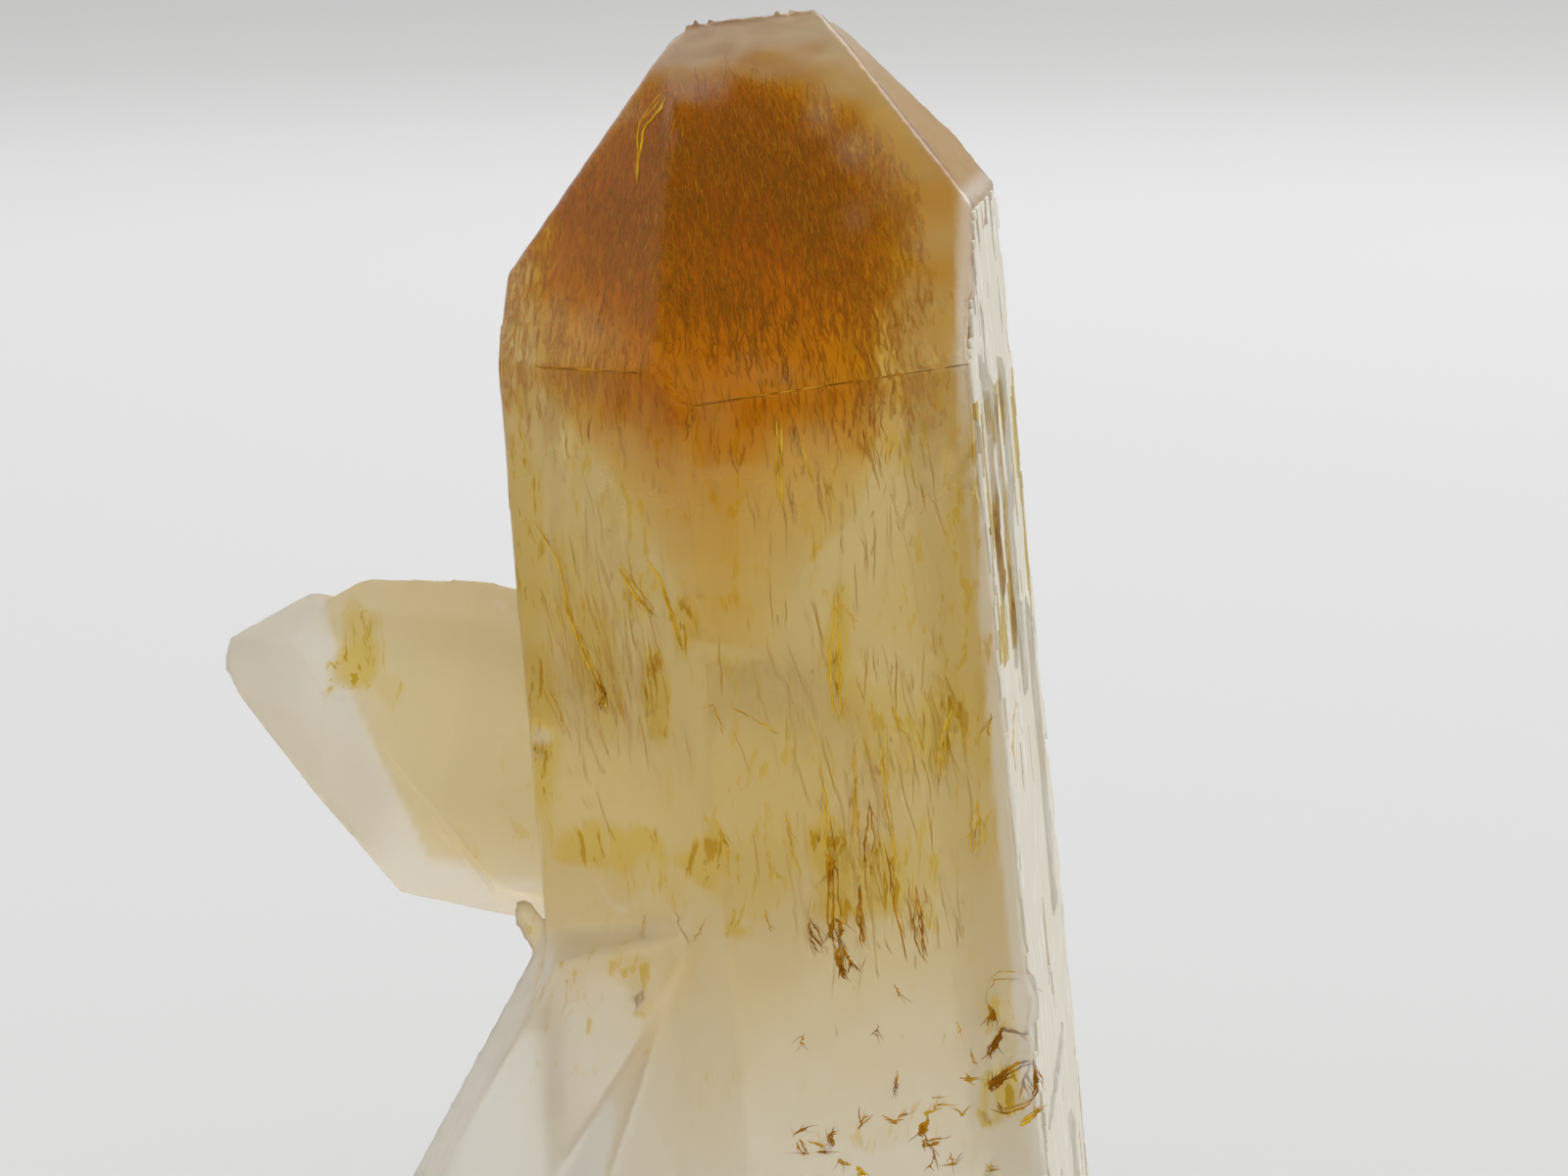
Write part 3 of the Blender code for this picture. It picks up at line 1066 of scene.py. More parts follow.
def cloud_surface(cloud, rings=44, spokes=56):
    """An amber cloud as one closed surface round a middle line that follows the front of the point.

    At each height its radius in the level direction u is the smooth least of its ways to each face's
    clear layer and to a back plane: the sum of (1 / way)^p, to the power -1/p.
    """
    height = np.linspace(cloud.top, cloud.foot, rings + 2)
    x = np.interp(height, [44.0, 71.6], [-1.0, -3.0])
    layers = CLEAR_LAYERS + np.array(cloud.inset)
    front = skin_place(x, height, 0.5 + cloud.inset[0])[:, 1]
    back = skin_place(x, height, 1.2, 1.0)[:, 1]
    depth = np.minimum(np.interp(height, cloud.heights, cloud.depths), back - front)
    centre = np.stack([x, front + depth / 2.0, height], axis=1)
    turn = 2.0 * np.pi * np.arange(spokes) / spokes
    way = np.stack([np.cos(turn), np.sin(turn), np.zeros(spokes)], axis=1)
    room = np.maximum(MAIN_DISTANCES - layers - centre @ MAIN_NORMALS.T, 0.02)
    nearness = np.maximum(way @ MAIN_NORMALS.T, 0.0)[None] / room[:, None]
    to_back = np.maximum(way[:, 1], 0.0)[None] / (depth[:, None] / 2.0)
    nearness = np.concatenate([nearness, to_back[..., None]], axis=2)
    radius = np.sum(nearness**CLOUD_BLEND, axis=2) ** (-1.0 / CLOUD_BLEND)
    places = centre[:, None] + way[None] * radius[..., None]
    shrink = 0.86 + 0.14 * lattice_noise(places, 3.0, 45)
    places = centre[:, None] + way[None] * (radius * shrink)[..., None]
    points = np.vstack([centre[:1], places[1:-1].reshape(-1, 3), centre[-1:]])
    return points, ball_faces(rings, spokes)


def ball_faces(rings, spokes):
    """Triangles of a closed grid that runs from its first point, the top, through rings to its last."""
    here = np.arange(spokes)
    after = (here + 1) % spokes
    edge, last = 1 + (rings - 1) * spokes, rings * spokes + 1
    ring = (1 + spokes * np.arange(rings - 1))[:, None]
    low, low_next = ring + here, ring + after
    high, high_next = low + spokes, low_next + spokes
    return np.concatenate(
        [
            np.stack([np.zeros(spokes, int), 1 + here, 1 + after], axis=1),
            np.stack([edge + after, edge + here, np.full(spokes, last)], axis=1),
            np.stack([low, high, high_next], axis=2).reshape(-1, 3),
            np.stack([low, high_next, low_next], axis=2).reshape(-1, 3),
        ]
    )


def haze_material(name, colour, density):
    """The clear amber between the fibres: light passes straight through it and takes its colour."""
    material, tree, shader, output, place = new_material(name)
    shader.inputs["Base Color"].default_value = (1.0, 0.98, 0.94, 1.0)
    shader.inputs["IOR"].default_value = 1.0
    shader.inputs["Roughness"].default_value = 0.0
    shader.inputs["Transmission Weight"].default_value = 1.0
    inside = tree.nodes.new("ShaderNodeVolumeAbsorption")
    inside.inputs["Color"].default_value = opaque(colour)
    inside.inputs["Density"].default_value = density
    tree.links.new(inside.outputs[0], output.inputs["Volume"])
    return material


class GrowAmberTip(bpy.types.Operator):
    """Fills the tip with two clear amber clouds and with fibres in three tones, most near the front"""

    bl_idname = "mango_quartz.amber_tip"
    bl_label = "Grow amber tip"

    def execute(self, context):
        sizes, colours = context.scene.mango_quartz_sizes, context.scene.mango_quartz_colours
        for name, cloud, colour, density in (
            ("amber_cloud", OUTER_CLOUD, colours.haze, colours.haze_density),
            ("amber_heart", HEART_CLOUD, colours.heart, colours.heart_density),
        ):
            points, faces = cloud_surface(cloud)
            add_piece(name, points, faces, haze_material(name, colour, density))
        for name, seed, dark, light, shortest, longest, share, focus in TIP_TONES:
            random = np.random.default_rng(seed)
            places = tip_places(random, int(sizes.fibres * share), focus)
            paths = fibre_paths(random, places, shortest, longest, 0.13, 4)
            paths = paths[kept_inside(paths)]
            widest = sizes.fibre_width / MM
            width = random.uniform(0.35, 1.0, (len(paths), 1)) * widest
            swell = np.array([0.0, 1.0, 0.8, 0.0])
            across = random.normal(0.0, 1.0, (len(paths), 3))
            points, faces = strands(paths, width * swell, width * swell * 0.6, across)
            add_piece(name, points, faces, strand_material(name, dark, light))
        return {"FINISHED"}


# The threads.


class Thread(NamedTuple):
    """A thread read off the front view: its turning points, its width and how many strands run side by
    side in it."""

    line: tuple
    width: float
    strands: int = 2


DARK_THREADS = (
    Thread(((842, 867), (848, 885), (848, 950), (862, 992)), 0.15, 3),
    Thread(((844, 871), (846, 895)), 0.45, 3),
    Thread(((850, 938), (852, 958)), 0.40, 3),
    Thread(((878, 901), (882, 962)), 0.20, 3),
    Thread(((888, 819), (886, 887)), 0.16, 2),
    Thread(((935, 907), (947, 984)), 0.16, 3),
    Thread(((826, 940), (840, 968)), 0.16, 3),
    Thread(((856, 966), (862, 996)), 0.36, 3),
    Thread(((902, 860), (926, 984)), 0.14, 2),
    Thread(((611, 690), (617, 710), (613, 722)), 0.24, 3),
    Thread(((664, 1008), (659, 1023)), 0.26, 2),
    Thread(((1010, 1027), (1013, 1042)), 0.34, 3),
    Thread(((1023, 1049), (1014, 1062), (1010, 1073)), 0.30, 4),
    Thread(((1029, 1049), (1044, 1056)), 0.24, 2),
    Thread(((1013, 1113), (1016, 1103), (1024, 1096), (1038, 1087), (1053, 1083)), 0.26, 4),
    Thread(((1013, 1114), (1019, 1101)), 0.40, 3),
    Thread(((1053, 1084), (1058, 1096), (1060, 1108), (1055, 1121)), 0.24, 4),
    Thread(((1055, 1121), (1047, 1130), (1037, 1133), (1025, 1137), (1016, 1128)), 0.16, 3),
    Thread(((1047, 1096), (1043, 1104), (1047, 1112)), 0.18, 2),
    Thread(((947, 1140), (941, 1150), (939, 1157)), 0.34, 3),
    Thread(((941, 1163), (947, 1170), (959, 1166)), 0.28, 3),
    Thread(((952, 1172), (953, 1184)), 0.14, 2),
    Thread(((810, 1158), (816, 1153), (824, 1150)), 0.15, 2),
    Thread(((815, 1162), (818, 1168), (824, 1176)), 0.17, 2),
    Thread(((822, 1177), (827, 1177)), 0.24, 1),
    Thread(((833, 1175), (838, 1176)), 0.26, 1),
    Thread(((850, 1158), (851, 1170)), 0.22, 2),
    Thread(((843, 1160), (853, 1154)), 0.16, 2),
    Thread(((875, 1151), (881, 1144), (888, 1138)), 0.16, 2),
    Thread(((914, 1147), (924, 1142)), 0.26, 2),
    Thread(((966, 1188), (974, 1187)), 0.24, 2),
    Thread(((970, 1176), (971, 1189)), 0.14, 1),
    Thread(((821, 1055), (821, 1067)), 0.10, 1),
    Thread(((896, 1045), (899, 1058)), 0.10, 1),
    Thread(((915, 1092), (916, 1112)), 0.12, 2),
    Thread(((912, 1004), (914, 1018)), 0.13, 1),
)
GOLD_THREADS = (
    Thread(((545, 532), (573, 573), (579, 627), (599, 675), (613, 706), (619, 730)), 0.16, 2),
    Thread(((631, 579), (645, 607), (665, 631)), 0.20, 3),
    Thread(((659, 569), (676, 593), (690, 629), (698, 665)), 0.18, 3),
    Thread(((555, 696), (577, 750)), 0.10, 2),
    Thread(((714, 724), (730, 718), (738, 750)), 0.13, 1),
    Thread(((744, 722), (774, 734), (796, 750)), 0.12, 1),
    Thread(((730, 837), (744, 875)), 0.13, 2),
    Thread(((852, 601), (850, 669), (852, 736)), 0.20, 3),
    Thread(((858, 613), (870, 645)), 0.12, 1),
    Thread(((836, 766), (846, 841), (842, 871)), 0.14, 2),
    Thread(((872, 760), (876, 823), (878, 883)), 0.16, 3),
    Thread(((902, 736), (904, 800), (910, 853), (914, 891)), 0.15, 2),
    Thread(((973, 710), (955, 798)), 0.16, 2),
    Thread(((910, 720), (931, 750)), 0.14, 2),
    Thread(((997, 815), (993, 871)), 0.16, 3),
    Thread(((1011, 726), (1011, 752)), 0.16, 1),
    Thread(((1035, 706), (1041, 796)), 0.16, 2),
    Thread(((802, 833), (810, 877)), 0.14, 2),
    Thread(((780, 927), (788, 952)), 0.12, 1),
    Thread(((796, 431), (794, 478), (798, 520)), 0.20, 2),
    Thread(((818, 440), (832, 496)), 0.12, 1),
    Thread(((656, 938), (658, 965)), 0.20, 2),
    Thread(((650, 190), (653, 130), (680, 96)), 0.24, 3),
    Thread(((686, 926), (703, 965)), 0.10, 1),
    Thread(((720, 936), (705, 965)), 0.10, 1),
    Thread(((1008, 1012), (1018, 999), (1036, 999), (1053, 1005), (1066, 1016)), 0.12, 2),
    Thread(((1040, 1149), (1048, 1142), (1055, 1133)), 0.32, 3),
    Thread(((953, 1128), (964, 1127)), 0.26, 2),
    Thread(((947, 1140), (952, 1133)), 0.26, 2),
    Thread(((981, 1138), (985, 1136)), 0.28, 1),
    Thread(((874, 1190), (876, 1200)), 0.34, 2),
    Thread(((1005, 1195), (1016, 1193)), 0.32, 2),
    Thread(((983, 1102), (991, 1103), (990, 1099)), 0.26, 2),
    Thread(((990, 1068), (995, 1084), (999, 1085)), 0.12, 1),
    Thread(((857, 1182), (868, 1189)), 0.18, 2),
    Thread(((828, 1166), (838, 1171)), 0.16, 2),
    Thread(((974, 1042), (977, 1055)), 0.10, 1),
)


def spurs(random, paths, widths, each):
    """Short strokes that leave the paths: each starts at a seeded step of its path and runs 0.3 to 1.1 mm
    nearly along the path, turned aside by a normally spread lean."""
    source = np.repeat(np.arange(len(paths)), each)
    step = random.integers(2, paths.shape[1] - 3, len(source))
    start = paths[source, step]
    way = unit(paths[source, step + 1] - paths[source, step - 1] + 1e-6)
    lean = random.normal(0.0, 0.28, (len(source), 3)) * np.array([1.0, 0.25, 0.25])
    way = unit(way + lean)
    length = random.uniform(0.3, 1.1, (len(source), 1, 1))
    t = np.linspace(0.0, 1.0, 6)[None, :, None]
    bow = random.normal(0.0, 0.05, (len(source), 1, 3)) * length
    made = start[:, None] + way[:, None] * length * t + bow * 4.0 * t * (1.0 - t)
    width = widths[source, step][:, None] * random.uniform(0.3, 0.7, (len(source), 1))
    return made, np.maximum(width, 0.04) * np.array([0.0, 1.0, 0.85, 0.7, 0.4, 0.0])


DRAWN_WIDTH = 0.62  # a strand's width, as a share of the width that its thread gives


def drawn_paths(random, threads, steps=14):
    """Each thread's turning points joined evenly, moved by small seeded steps, and laid at the skin that
    the front shows: the first strand stands out of it by 0.02 mm, and each further one lies deeper."""
    paths, widths = [], []
    t = np.linspace(0.0, 1.0, steps)
    for thread in threads:
        line = np.array(thread.line, float)
        stops = np.linspace(0.0, 1.0, len(line))
        across = np.interp(t, stops, line[:, 0])
        down = np.interp(t, stops, line[:, 1])
        for number in range(thread.strands):
            wander = np.cumsum(random.normal(0.0, 1.1, steps)) * np.sin(np.pi * t) ** 0.5
            aside = random.normal(0.0, 1.8) * (number > 0)
            along = random.normal(0.0, 4.0) * (number > 0)
            depth = -0.02 + 0.012 * number + 0.02 * np.abs(np.sin(5.0 * t + number))
            paths.append(seen_place(across + wander + aside, down + along, depth))
            swell = np.sin(np.pi * t) ** 0.4 * (0.55 + 0.9 * random.random(steps))
            widths.append(DRAWN_WIDTH * thread.width * swell * (1.0 if number == 0 else 0.7))
    return np.array(paths), np.array(widths)


class Bunch(NamedTuple):
    """Random threads under one wall of the main point: the middle across the wall and up the axis, the
    spread either way, how many, their longest length and greatest depth."""

    wall: int
    across: float
    height: float
    spread: tuple
    count: int
    longest: float
    depth: float


BUNCHES = (
    Bunch(FRONT_WALL, 0.0, 53.0, (5.5, 3.0), 90, 3.0, 1.6),
    Bunch(FRONT_WALL, 0.0, 44.0, (5.5, 7.0), 130, 3.6, 2.5),
    Bunch(FRONT_WALL, -1.0, 36.0, (3.5, 4.0), 80, 4.5, 1.2),
    Bunch(FRONT_WALL, 4.0, 39.5, (2.0, 3.0), 60, 2.4, 1.2),
    Bunch(FRONT_WALL, 0.0, 30.5, (3.5, 2.0), 70, 2.4, 0.9),
    Bunch(FRONT_WALL, 2.0, 25.0, (5.0, 4.0), 16, 1.5, 1.0),
    Bunch(LEFT_WALL, 0.0, 47.0, (3.5, 5.0), 150, 3.0, 1.6),
    Bunch(LEFT_WALL, 1.0, 43.0, (2.5, 3.0), 90, 2.6, 1.2),
    Bunch(LEFT_WALL, -3.0, 44.0, (1.2, 8.0), 60, 3.0, 1.0),
    Bunch(BACK_LEFT_WALL, 0.0, 46.0, (5.0, 9.0), 90, 3.4, 2.0),
    Bunch(BACK_WALL, 0.0, 45.0, (5.5, 9.0), 120, 4.0, 2.5),
    Bunch(BACK_RIGHT_WALL, 0.0, 44.0, (5.0, 9.0), 90, 4.0, 2.5),
    Bunch(RIGHT_WALL, 0.0, 48.0, (5.0, 9.0), 90, 5.0, 0.8),
)


def bunch_paths(random, bunch, steps=8):
    """Seeded threads under a wall: each starts at a normally spread place, runs down the axis for its own
    length and drifts aside by a sum of small steps."""
    across = random.normal(bunch.across, bunch.spread[0] * 0.6, (bunch.count, 1))
    height = random.normal(bunch.height, bunch.spread[1] * 0.6, (bunch.count, 1))
    length = random.uniform(0.25, 1.0, (bunch.count, 1)) ** 1.6 * bunch.longest
    depth = random.uniform(0.0, 1.0, (bunch.count, 1)) ** 2.5 * bunch.depth + 0.08
    t = np.linspace(0.0, 1.0, steps)[None]
    lean = random.normal(0.06, 0.12, (bunch.count, 1))
    drift = np.cumsum(random.normal(0.0, 0.035, (bunch.count, steps)), axis=1)
    depth = depth + np.abs(random.normal(0.0, 0.15, (bunch.count, 1))) * t
    paths = wall_place(MAIN, bunch.wall, across + lean * length * t + drift, height - length * t, depth)
    paths = paths[kept_inside(paths, 0.05)]
    width = random.uniform(0.04, 0.10, (len(paths), 1)) * np.sin(np.pi * np.linspace(0, 1, steps)) ** 0.5
    return paths, width


class GrowThreads(bpy.types.Operator):
    """Lays the drawn threads at the front skin and fine random ones under every wall"""

    bl_idname = "mango_quartz.threads"
    bl_label = "Grow threads"

    def execute(self, context):
        for name, threads, seed, dark, light in (
            ("dark_threads", DARK_THREADS, 61, (0.28, 0.10, 0.003), (0.60, 0.28, 0.012)),
            ("gold_threads", GOLD_THREADS, 64, (0.56, 0.29, 0.008), (0.80, 0.50, 0.04)),
        ):
            random = np.random.default_rng(seed)
            paths, widths = drawn_paths(random, threads)
            small, small_widths = spurs(random, paths, widths, 3)
            across = np.tile([1.0, 0.3, 0.0], (len(paths), 1))
            small_across = np.tile([1.0, 0.3, 0.0], (len(small), 1))
            points, faces = joined(
                [
                    strands(paths, widths, widths * 0.5, across, 4),
                    strands(small, small_widths, small_widths * 0.5, small_across, 3),
                ]
            )
            add_piece(name, points, faces, strand_material(name, dark, light))

        total = sum(bunch.count for bunch in BUNCHES)
        share = context.scene.mango_quartz_sizes.threads / total
        tones = (
            ("fine_threads_brown", 62, (0.82, 0.46, 0.008), (0.97, 0.66, 0.05), 0.55),
            ("fine_threads_ochre", 63, (0.94, 0.66, 0.05), (1.0, 0.82, 0.20), 1.0),
        )
        for name, seed, dark, light, part in tones:
            random = np.random.default_rng(seed)
            meshes = []
            for bunch in BUNCHES:
                count = max(2, int(bunch.count * share * part))
                paths, width = bunch_paths(random, bunch._replace(count=count))
                across = np.tile(np.cross(MAIN_AXIS, wall_directions(MAIN)[bunch.wall]), (len(paths), 1))
                meshes.append(strands(paths, width, width * 0.6, across))
            points, faces = joined(meshes)
            add_piece(name, points, faces, strand_material(name, dark, light))
        return {"FINISHED"}


def joined(meshes):
    """Several meshes as one: the points stacked, and each mesh's faces moved on by the points before."""
    starts = np.cumsum([0] + [len(points) for points, faces in meshes[:-1]])
    points = np.concatenate([points for points, faces in meshes])
    faces = np.concatenate([faces + start for (points_here, faces), start in zip(meshes, starts)])
    return points, faces


# The crust of the right wall.

CRUST_ACROSS = (-11.0, 11.0)
CRUST_HEIGHTS = (1.0, 68.0)
CELL_HEIGHT = 2.2  # in cell widths
CRUST_INNER = 0.16  # how far under the wall's plane the crust's inner side lies
GAP_NOISE = 0.7  # noise above this leaves a gap


def crust_grid(side, in_slits):
    """A level grid over the right wall, as its ways across and up, and which of its cells carry crust.

    A cell is bare outside the wall's edges, where noise near an edge says so, and in the gaps, which are
    noise drawn out along Z. Of the rest the slits carry the ochre crust and the others the white one.
    """
    across = np.arange(*CRUST_ACROSS, side)
    height = np.arange(*CRUST_HEIGHTS, CELL_HEIGHT * side)
    across, height = np.meshgrid(across, height, indexing="ij")
    flat = wall_place(MAIN, RIGHT_WALL, across, height, np.zeros_like(across))
    middle = 0.25 * (flat[:-1, :-1] + flat[1:, :-1] + flat[:-1, 1:] + flat[1:, 1:]).reshape(-1, 3)
    others = [face for face in range(len(MAIN_NORMALS)) if face != RIGHT_WALL]
    inward = depths_inside(middle, (MAIN_NORMALS[others], MAIN_DISTANCES[others])).min(axis=1)
    edge = 0.12 + 0.9 * smooth_step(0.45, 0.75, lattice_noise(middle, (0.7, 0.7, 1.6), 91))
    kept = (inward > edge) & (middle[:, 2] > 1.0) & ((slit_share(middle) > 0.5) == in_slits)
    gaps = lattice_noise(middle, (0.5, 0.5, 6.0), 92) * 0.6
    gaps += lattice_noise(middle, (1.4, 1.4, 4.0), 94) * 0.4
    kept &= gaps < GAP_NOISE
    return across, height, kept.reshape(across.shape[0] - 1, -1)


def crust_shell(side, thickness, in_slits):
    """The kept cells as one closed shell: each has its outer and inner square, and a wall on every side
    where the next cell is bare. Outer points stand out by the thickness x noise."""
    across, height, kept = crust_grid(side, in_slits)
    flat = wall_place(MAIN, RIGHT_WALL, across, height, np.zeros_like(across)).reshape(-1, 3)
    rise = thickness * (0.25 + 0.75 * lattice_noise(flat, (0.5, 0.5, 5.0), 93)).reshape(across.shape)
    outer = wall_place(MAIN, RIGHT_WALL, across, height, -rise)
    inner = wall_place(MAIN, RIGHT_WALL, across, height, np.full_like(across, CRUST_INNER))
    index = np.arange(across.size).reshape(across.shape)
    a, b, c, d = index[:-1, :-1], index[1:, :-1], index[1:, 1:], index[:-1, 1:]
    under = across.size
    faces = [
        np.stack([a, b, c, d], axis=-1)[kept],
        np.stack([d, c, b, a], axis=-1)[kept] + under,
    ]
    ringed = np.pad(kept, 1)
    for start, end, beside in (
        (b, a, ringed[1:-1, :-2]),
        (c, b, ringed[2:, 1:-1]),
        (d, c, ringed[1:-1, 2:]),
        (a, d, ringed[:-2, 1:-1]),
    ):
        wall = np.stack([start, end, end + under, start + under], axis=-1)
        faces.append(wall[kept & ~beside])
    points = np.concatenate([outer.reshape(-1, 3), inner.reshape(-1, 3)])
    faces = np.concatenate(faces)
    used, faces = np.unique(faces, return_inverse=True)
    return points[used], faces.reshape(-1, 4)


def crust_material(name, streaks, dark, light):
    """Two tones of one crust, mixed along upright streaks."""
    material, tree, shader, output, place = new_material(name)
    fine = group_output(tree, streaks, Place=place, Scale=1600.0, Stretch=0.08, Share=0.5)
    colour = mixed(tree, fine, opaque(dark), opaque(light))
    tree.links.new(colour, shader.inputs["Base Color"])
    tree.links.new(ramp(tree, fine, 0.0, 1.0, 0.45, 0.65), shader.inputs["Roughness"])
    shader.inputs["IOR"].default_value = 1.3
    return material


class GrowWhiteCrust(bpy.types.Operator):
    """Lays the thin white crust and the ochre one of its upright slits on the right wall"""

    bl_idname = "mango_quartz.white_crust"
    bl_label = "Grow white crust"

    def execute(self, context):
        sizes = context.scene.mango_quartz_sizes
        streaks = streaks_group()
        for name, in_slits, rise, dark, light in (
            ("white_crust", False, sizes.crust_rise, (0.80, 0.74, 0.61), (0.90, 0.87, 0.80)),
            ("ochre_slits", True, 1.6 * sizes.crust_rise, (0.50, 0.34, 0.05), (0.74, 0.57, 0.22)),
        ):
            points, faces = crust_shell(sizes.crust_cell / MM, rise / MM, in_slits)
            add_piece(name, points, faces, crust_material(name, streaks, dark, light), False)
        return {"FINISHED"}


# The edges and the studio.


def edge_paths(random, wall, across_low, across_high, count, steps=8):
    """Short paths along the edge where a wall meets its tip face. At each x the two planes, both set back
    by a seeded 0.06 to 0.22 mm, give y and z."""
    low = random.uniform(across_low, across_high, (count, 1))
    length = random.uniform(0.8, 3.2, (count, 1))
    x = low + length * np.linspace(0.0, 1.0, steps)[None]
    x = np.minimum(x, across_high + 1.0)
    pair = MAIN_NORMALS[[wall, wall + WALLS]]
    reach = MAIN_DISTANCES[[wall, wall + WALLS]] - random.uniform(0.06, 0.22, (count, 1, 1))
    known = reach - x[..., None] * pair[:, 0]
    solved = known @ np.linalg.inv(pair[:, 1:]).T
    return np.concatenate([x[..., None], solved], axis=2)


class GrowEdgeLines(bpy.types.Operator):
    """Marks the edges between the front and left walls and their tip faces with brown lines"""

    bl_idname = "mango_quartz.edge_lines"
    bl_label = "Mark edges"

    def execute(self, context):
        random = np.random.default_rng(81)
        front = edge_paths(random, FRONT_WALL, -5.0, 9.0, 34)
        left = edge_paths(random, LEFT_WALL, -13.0, -7.0, 20)
        paths = np.concatenate([front, left])
        paths = paths[kept_inside(paths, 0.03)]
        swell = np.sin(np.pi * np.linspace(0.0, 1.0, paths.shape[1])) ** 0.5
        width = random.uniform(0.05, 0.14, (len(paths), 1)) * swell
        across = np.tile(MAIN_AXIS, (len(paths), 1))
        points, faces = strands(paths, width, width * 0.6, across)
        material = strand_material("edge_brown", (0.34, 0.13, 0.005), (0.62, 0.28, 0.02))
        add_piece("edge_lines", points, faces, material)
        return {"FINISHED"}


class SetStudio(bpy.types.Operator):
    """Sets the floor, the light and the camera"""

    bl_idname = "mango_quartz.studio"
    bl_label = "Set the studio"

    def execute(self, context):
        studio = context.scene.mango_quartz_studio
        add_floor()
        add_light(studio)
        add_camera(context.scene, studio)
        return {"FINISHED"}


FLOOR_FLAT, FLOOR_REACH, FLOOR_RISE = 0.9, 3.2, 0.9  # metres


def add_floor(rings=40, spokes=64):
    """A shallow pale bowl: the height at radius r is its rise x the smooth step of r from where the flat
    middle ends to its rim."""
    radius = FLOOR_REACH * np.linspace(0.0, 1.0, rings + 1)[1:] ** 1.5
    turn = 2.0 * np.pi * np.arange(spokes) / spokes
    height = FLOOR_RISE * smooth_step(FLOOR_FLAT, FLOOR_REACH, radius)
    rows = np.stack(
        [
            radius[:, None] * np.cos(turn),
            radius[:, None] * np.sin(turn),
            np.repeat(height[:, None], spokes, axis=1),
        ],
        axis=2,
    ).reshape(-1, 3)
    points = np.vstack([[0.0, 0.0, 0.0], rows])
    here = np.arange(spokes)
    after = (here + 1) % spokes
    ring = (1 + spokes * np.arange(rings - 1))[:, None]
    quads = np.stack([ring + here, ring + here + spokes, ring + after + spokes, ring + after], axis=2)
    fan = [[0, 1 + a, 1 + b] for a, b in zip(here.tolist(), after.tolist())]
    mesh = bpy.data.meshes.new("studio_floor")
    mesh.from_pydata(points.tolist(), [], fan + quads.reshape(-1, 4).tolist())
    mesh.polygons.foreach_set("use_smooth", np.full(len(mesh.polygons), True))
    floor = bpy.data.objects.new("studio_floor", mesh)
    bpy.context.scene.collection.objects.link(floor)
    material, tree, shader, output, place = new_material("studio_paper")
    # painted shade: the paper turns darker from 0.5 m out to 1.3 m, standing in for light that falls off
    # away from the specimen
    far = add_node(tree, "ShaderNodeVectorMath", {"operation": "LENGTH"}, i0=place).outputs["Value"]
    colour = mixed(tree, ramp(tree, far, 0.50, 1.3), (0.62, 0.625, 0.62, 1.0), (0.455, 0.455, 0.45, 1.0))
    tree.links.new(colour, shader.inputs["Base Color"])
    shader.inputs["Roughness"].default_value = 0.9
    shader.inputs["Specular IOR Level"].default_value = 0.1
    mesh.materials.append(material)


def add_light(studio):
    """Soft light from all round, brighter behind the specimen than before it, and two large soft boxes."""
    world = bpy.data.worlds.new("studio_room")
    world.use_nodes = True
    tree = world.node_tree
    way = tree.nodes.new("ShaderNodeTexCoord").outputs["Generated"]
    back = add_node(tree, "ShaderNodeSeparateXYZ", None, Vector=way).outputs["Y"]
    strength = ramp(tree, back, -0.8, 0.5, studio.room_before, studio.room_behind)
    tree.links.new(strength, tree.nodes["Background"].inputs["Strength"])
    tree.nodes["Background"].inputs["Color"].default_value = (1.0, 1.0, 1.0, 1.0)
    bpy.context.scene.world = world
    for name, place, size, power in (
        ("soft_box_behind", (0.35, 0.75, 0.8), 0.8, studio.box_power),
        ("soft_box_left", (-0.85, -0.6, 0.15), 0.5, studio.box_power * 0.4),
    ):
        lamp = bpy.data.lights.new(name, "AREA")
        lamp.shape = "SQUARE"
        lamp.size = size
        lamp.energy = power
        light = bpy.data.objects.new(name, lamp)
        light.location = place
        aim = Vector((0.0, 0.0, 0.03)) - Vector(place)
        light.rotation_euler = aim.to_track_quat("-Z", "Y").to_euler()
        bpy.context.scene.collection.objects.link(light)


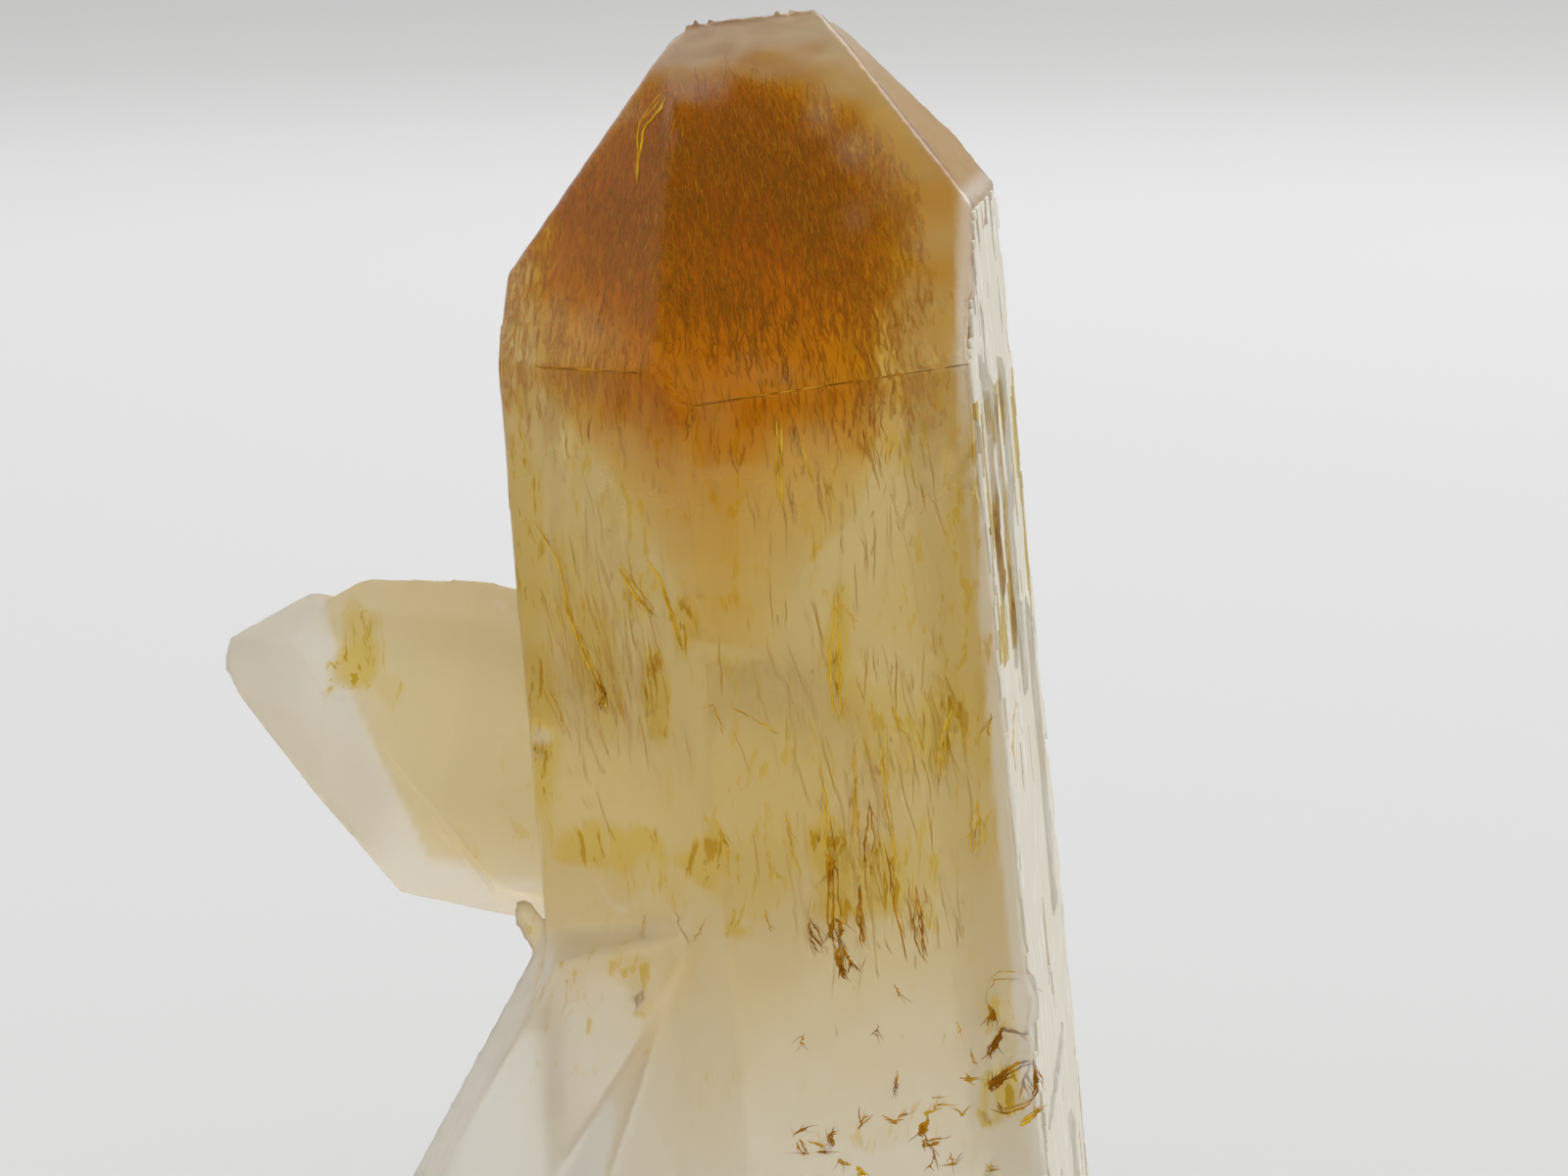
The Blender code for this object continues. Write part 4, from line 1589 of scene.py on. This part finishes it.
def add_camera(scene, studio):
    """Looks at the middle of the specimen from the front, a little from above."""
    target = Vector(VIEW_AIM * MM)
    away = Vector((0.0, -math.cos(studio.elevation), math.sin(studio.elevation)))
    lens = bpy.data.cameras.new("camera")
    lens.lens = studio.lens
    lens.sensor_width = 36.0
    camera = bpy.data.objects.new("camera", lens)
    camera.location = target + away * studio.distance
    camera.rotation_euler = (-away).to_track_quat("-Z", "Y").to_euler()
    scene.collection.objects.link(camera)
    scene.camera = camera
    scene.view_settings.view_transform = "Standard"


class MangoQuartzPanel(bpy.types.Panel):
    """Lists the sizes, colours and steps in the 3D view's sidebar"""

    bl_idname = "VIEW3D_PT_mango_quartz"
    bl_label = "Mango Quartz"
    bl_space_type = "VIEW_3D"
    bl_region_type = "UI"
    bl_category = "Mango Quartz"

    def draw(self, context):
        for group in ("mango_quartz_sizes", "mango_quartz_colours", "mango_quartz_studio"):
            box = self.layout.box()
            values = getattr(context.scene, group)
            for name in values.bl_rna.properties.keys():
                if name not in ("rna_type", "name"):
                    box.prop(values, name)
        for operator in OPERATORS:
            self.layout.operator(operator.bl_idname)


OPERATORS = (GrowClearQuartz, GrowAmberTip, GrowThreads, GrowWhiteCrust, GrowEdgeLines, SetStudio)
CLASSES = (MangoQuartzSizes, MangoQuartzColours, MangoQuartzStudio, *OPERATORS, MangoQuartzPanel)


def register():
    """Registers the classes and gives the scene their values."""
    for one in CLASSES:
        bpy.utils.register_class(one)
    bpy.types.Scene.mango_quartz_sizes = PointerProperty(type=MangoQuartzSizes)
    bpy.types.Scene.mango_quartz_colours = PointerProperty(type=MangoQuartzColours)
    bpy.types.Scene.mango_quartz_studio = PointerProperty(type=MangoQuartzStudio)


def unregister():
    """Takes the values and the classes away again."""
    del bpy.types.Scene.mango_quartz_sizes
    del bpy.types.Scene.mango_quartz_colours
    del bpy.types.Scene.mango_quartz_studio
    for one in reversed(CLASSES):
        bpy.utils.unregister_class(one)


def main():
    register()
    bpy.ops.mango_quartz.clear_quartz()
    bpy.ops.mango_quartz.amber_tip()
    bpy.ops.mango_quartz.threads()
    bpy.ops.mango_quartz.white_crust()
    bpy.ops.mango_quartz.edge_lines()
    bpy.ops.mango_quartz.studio()


if __name__ == "__main__":
    main()
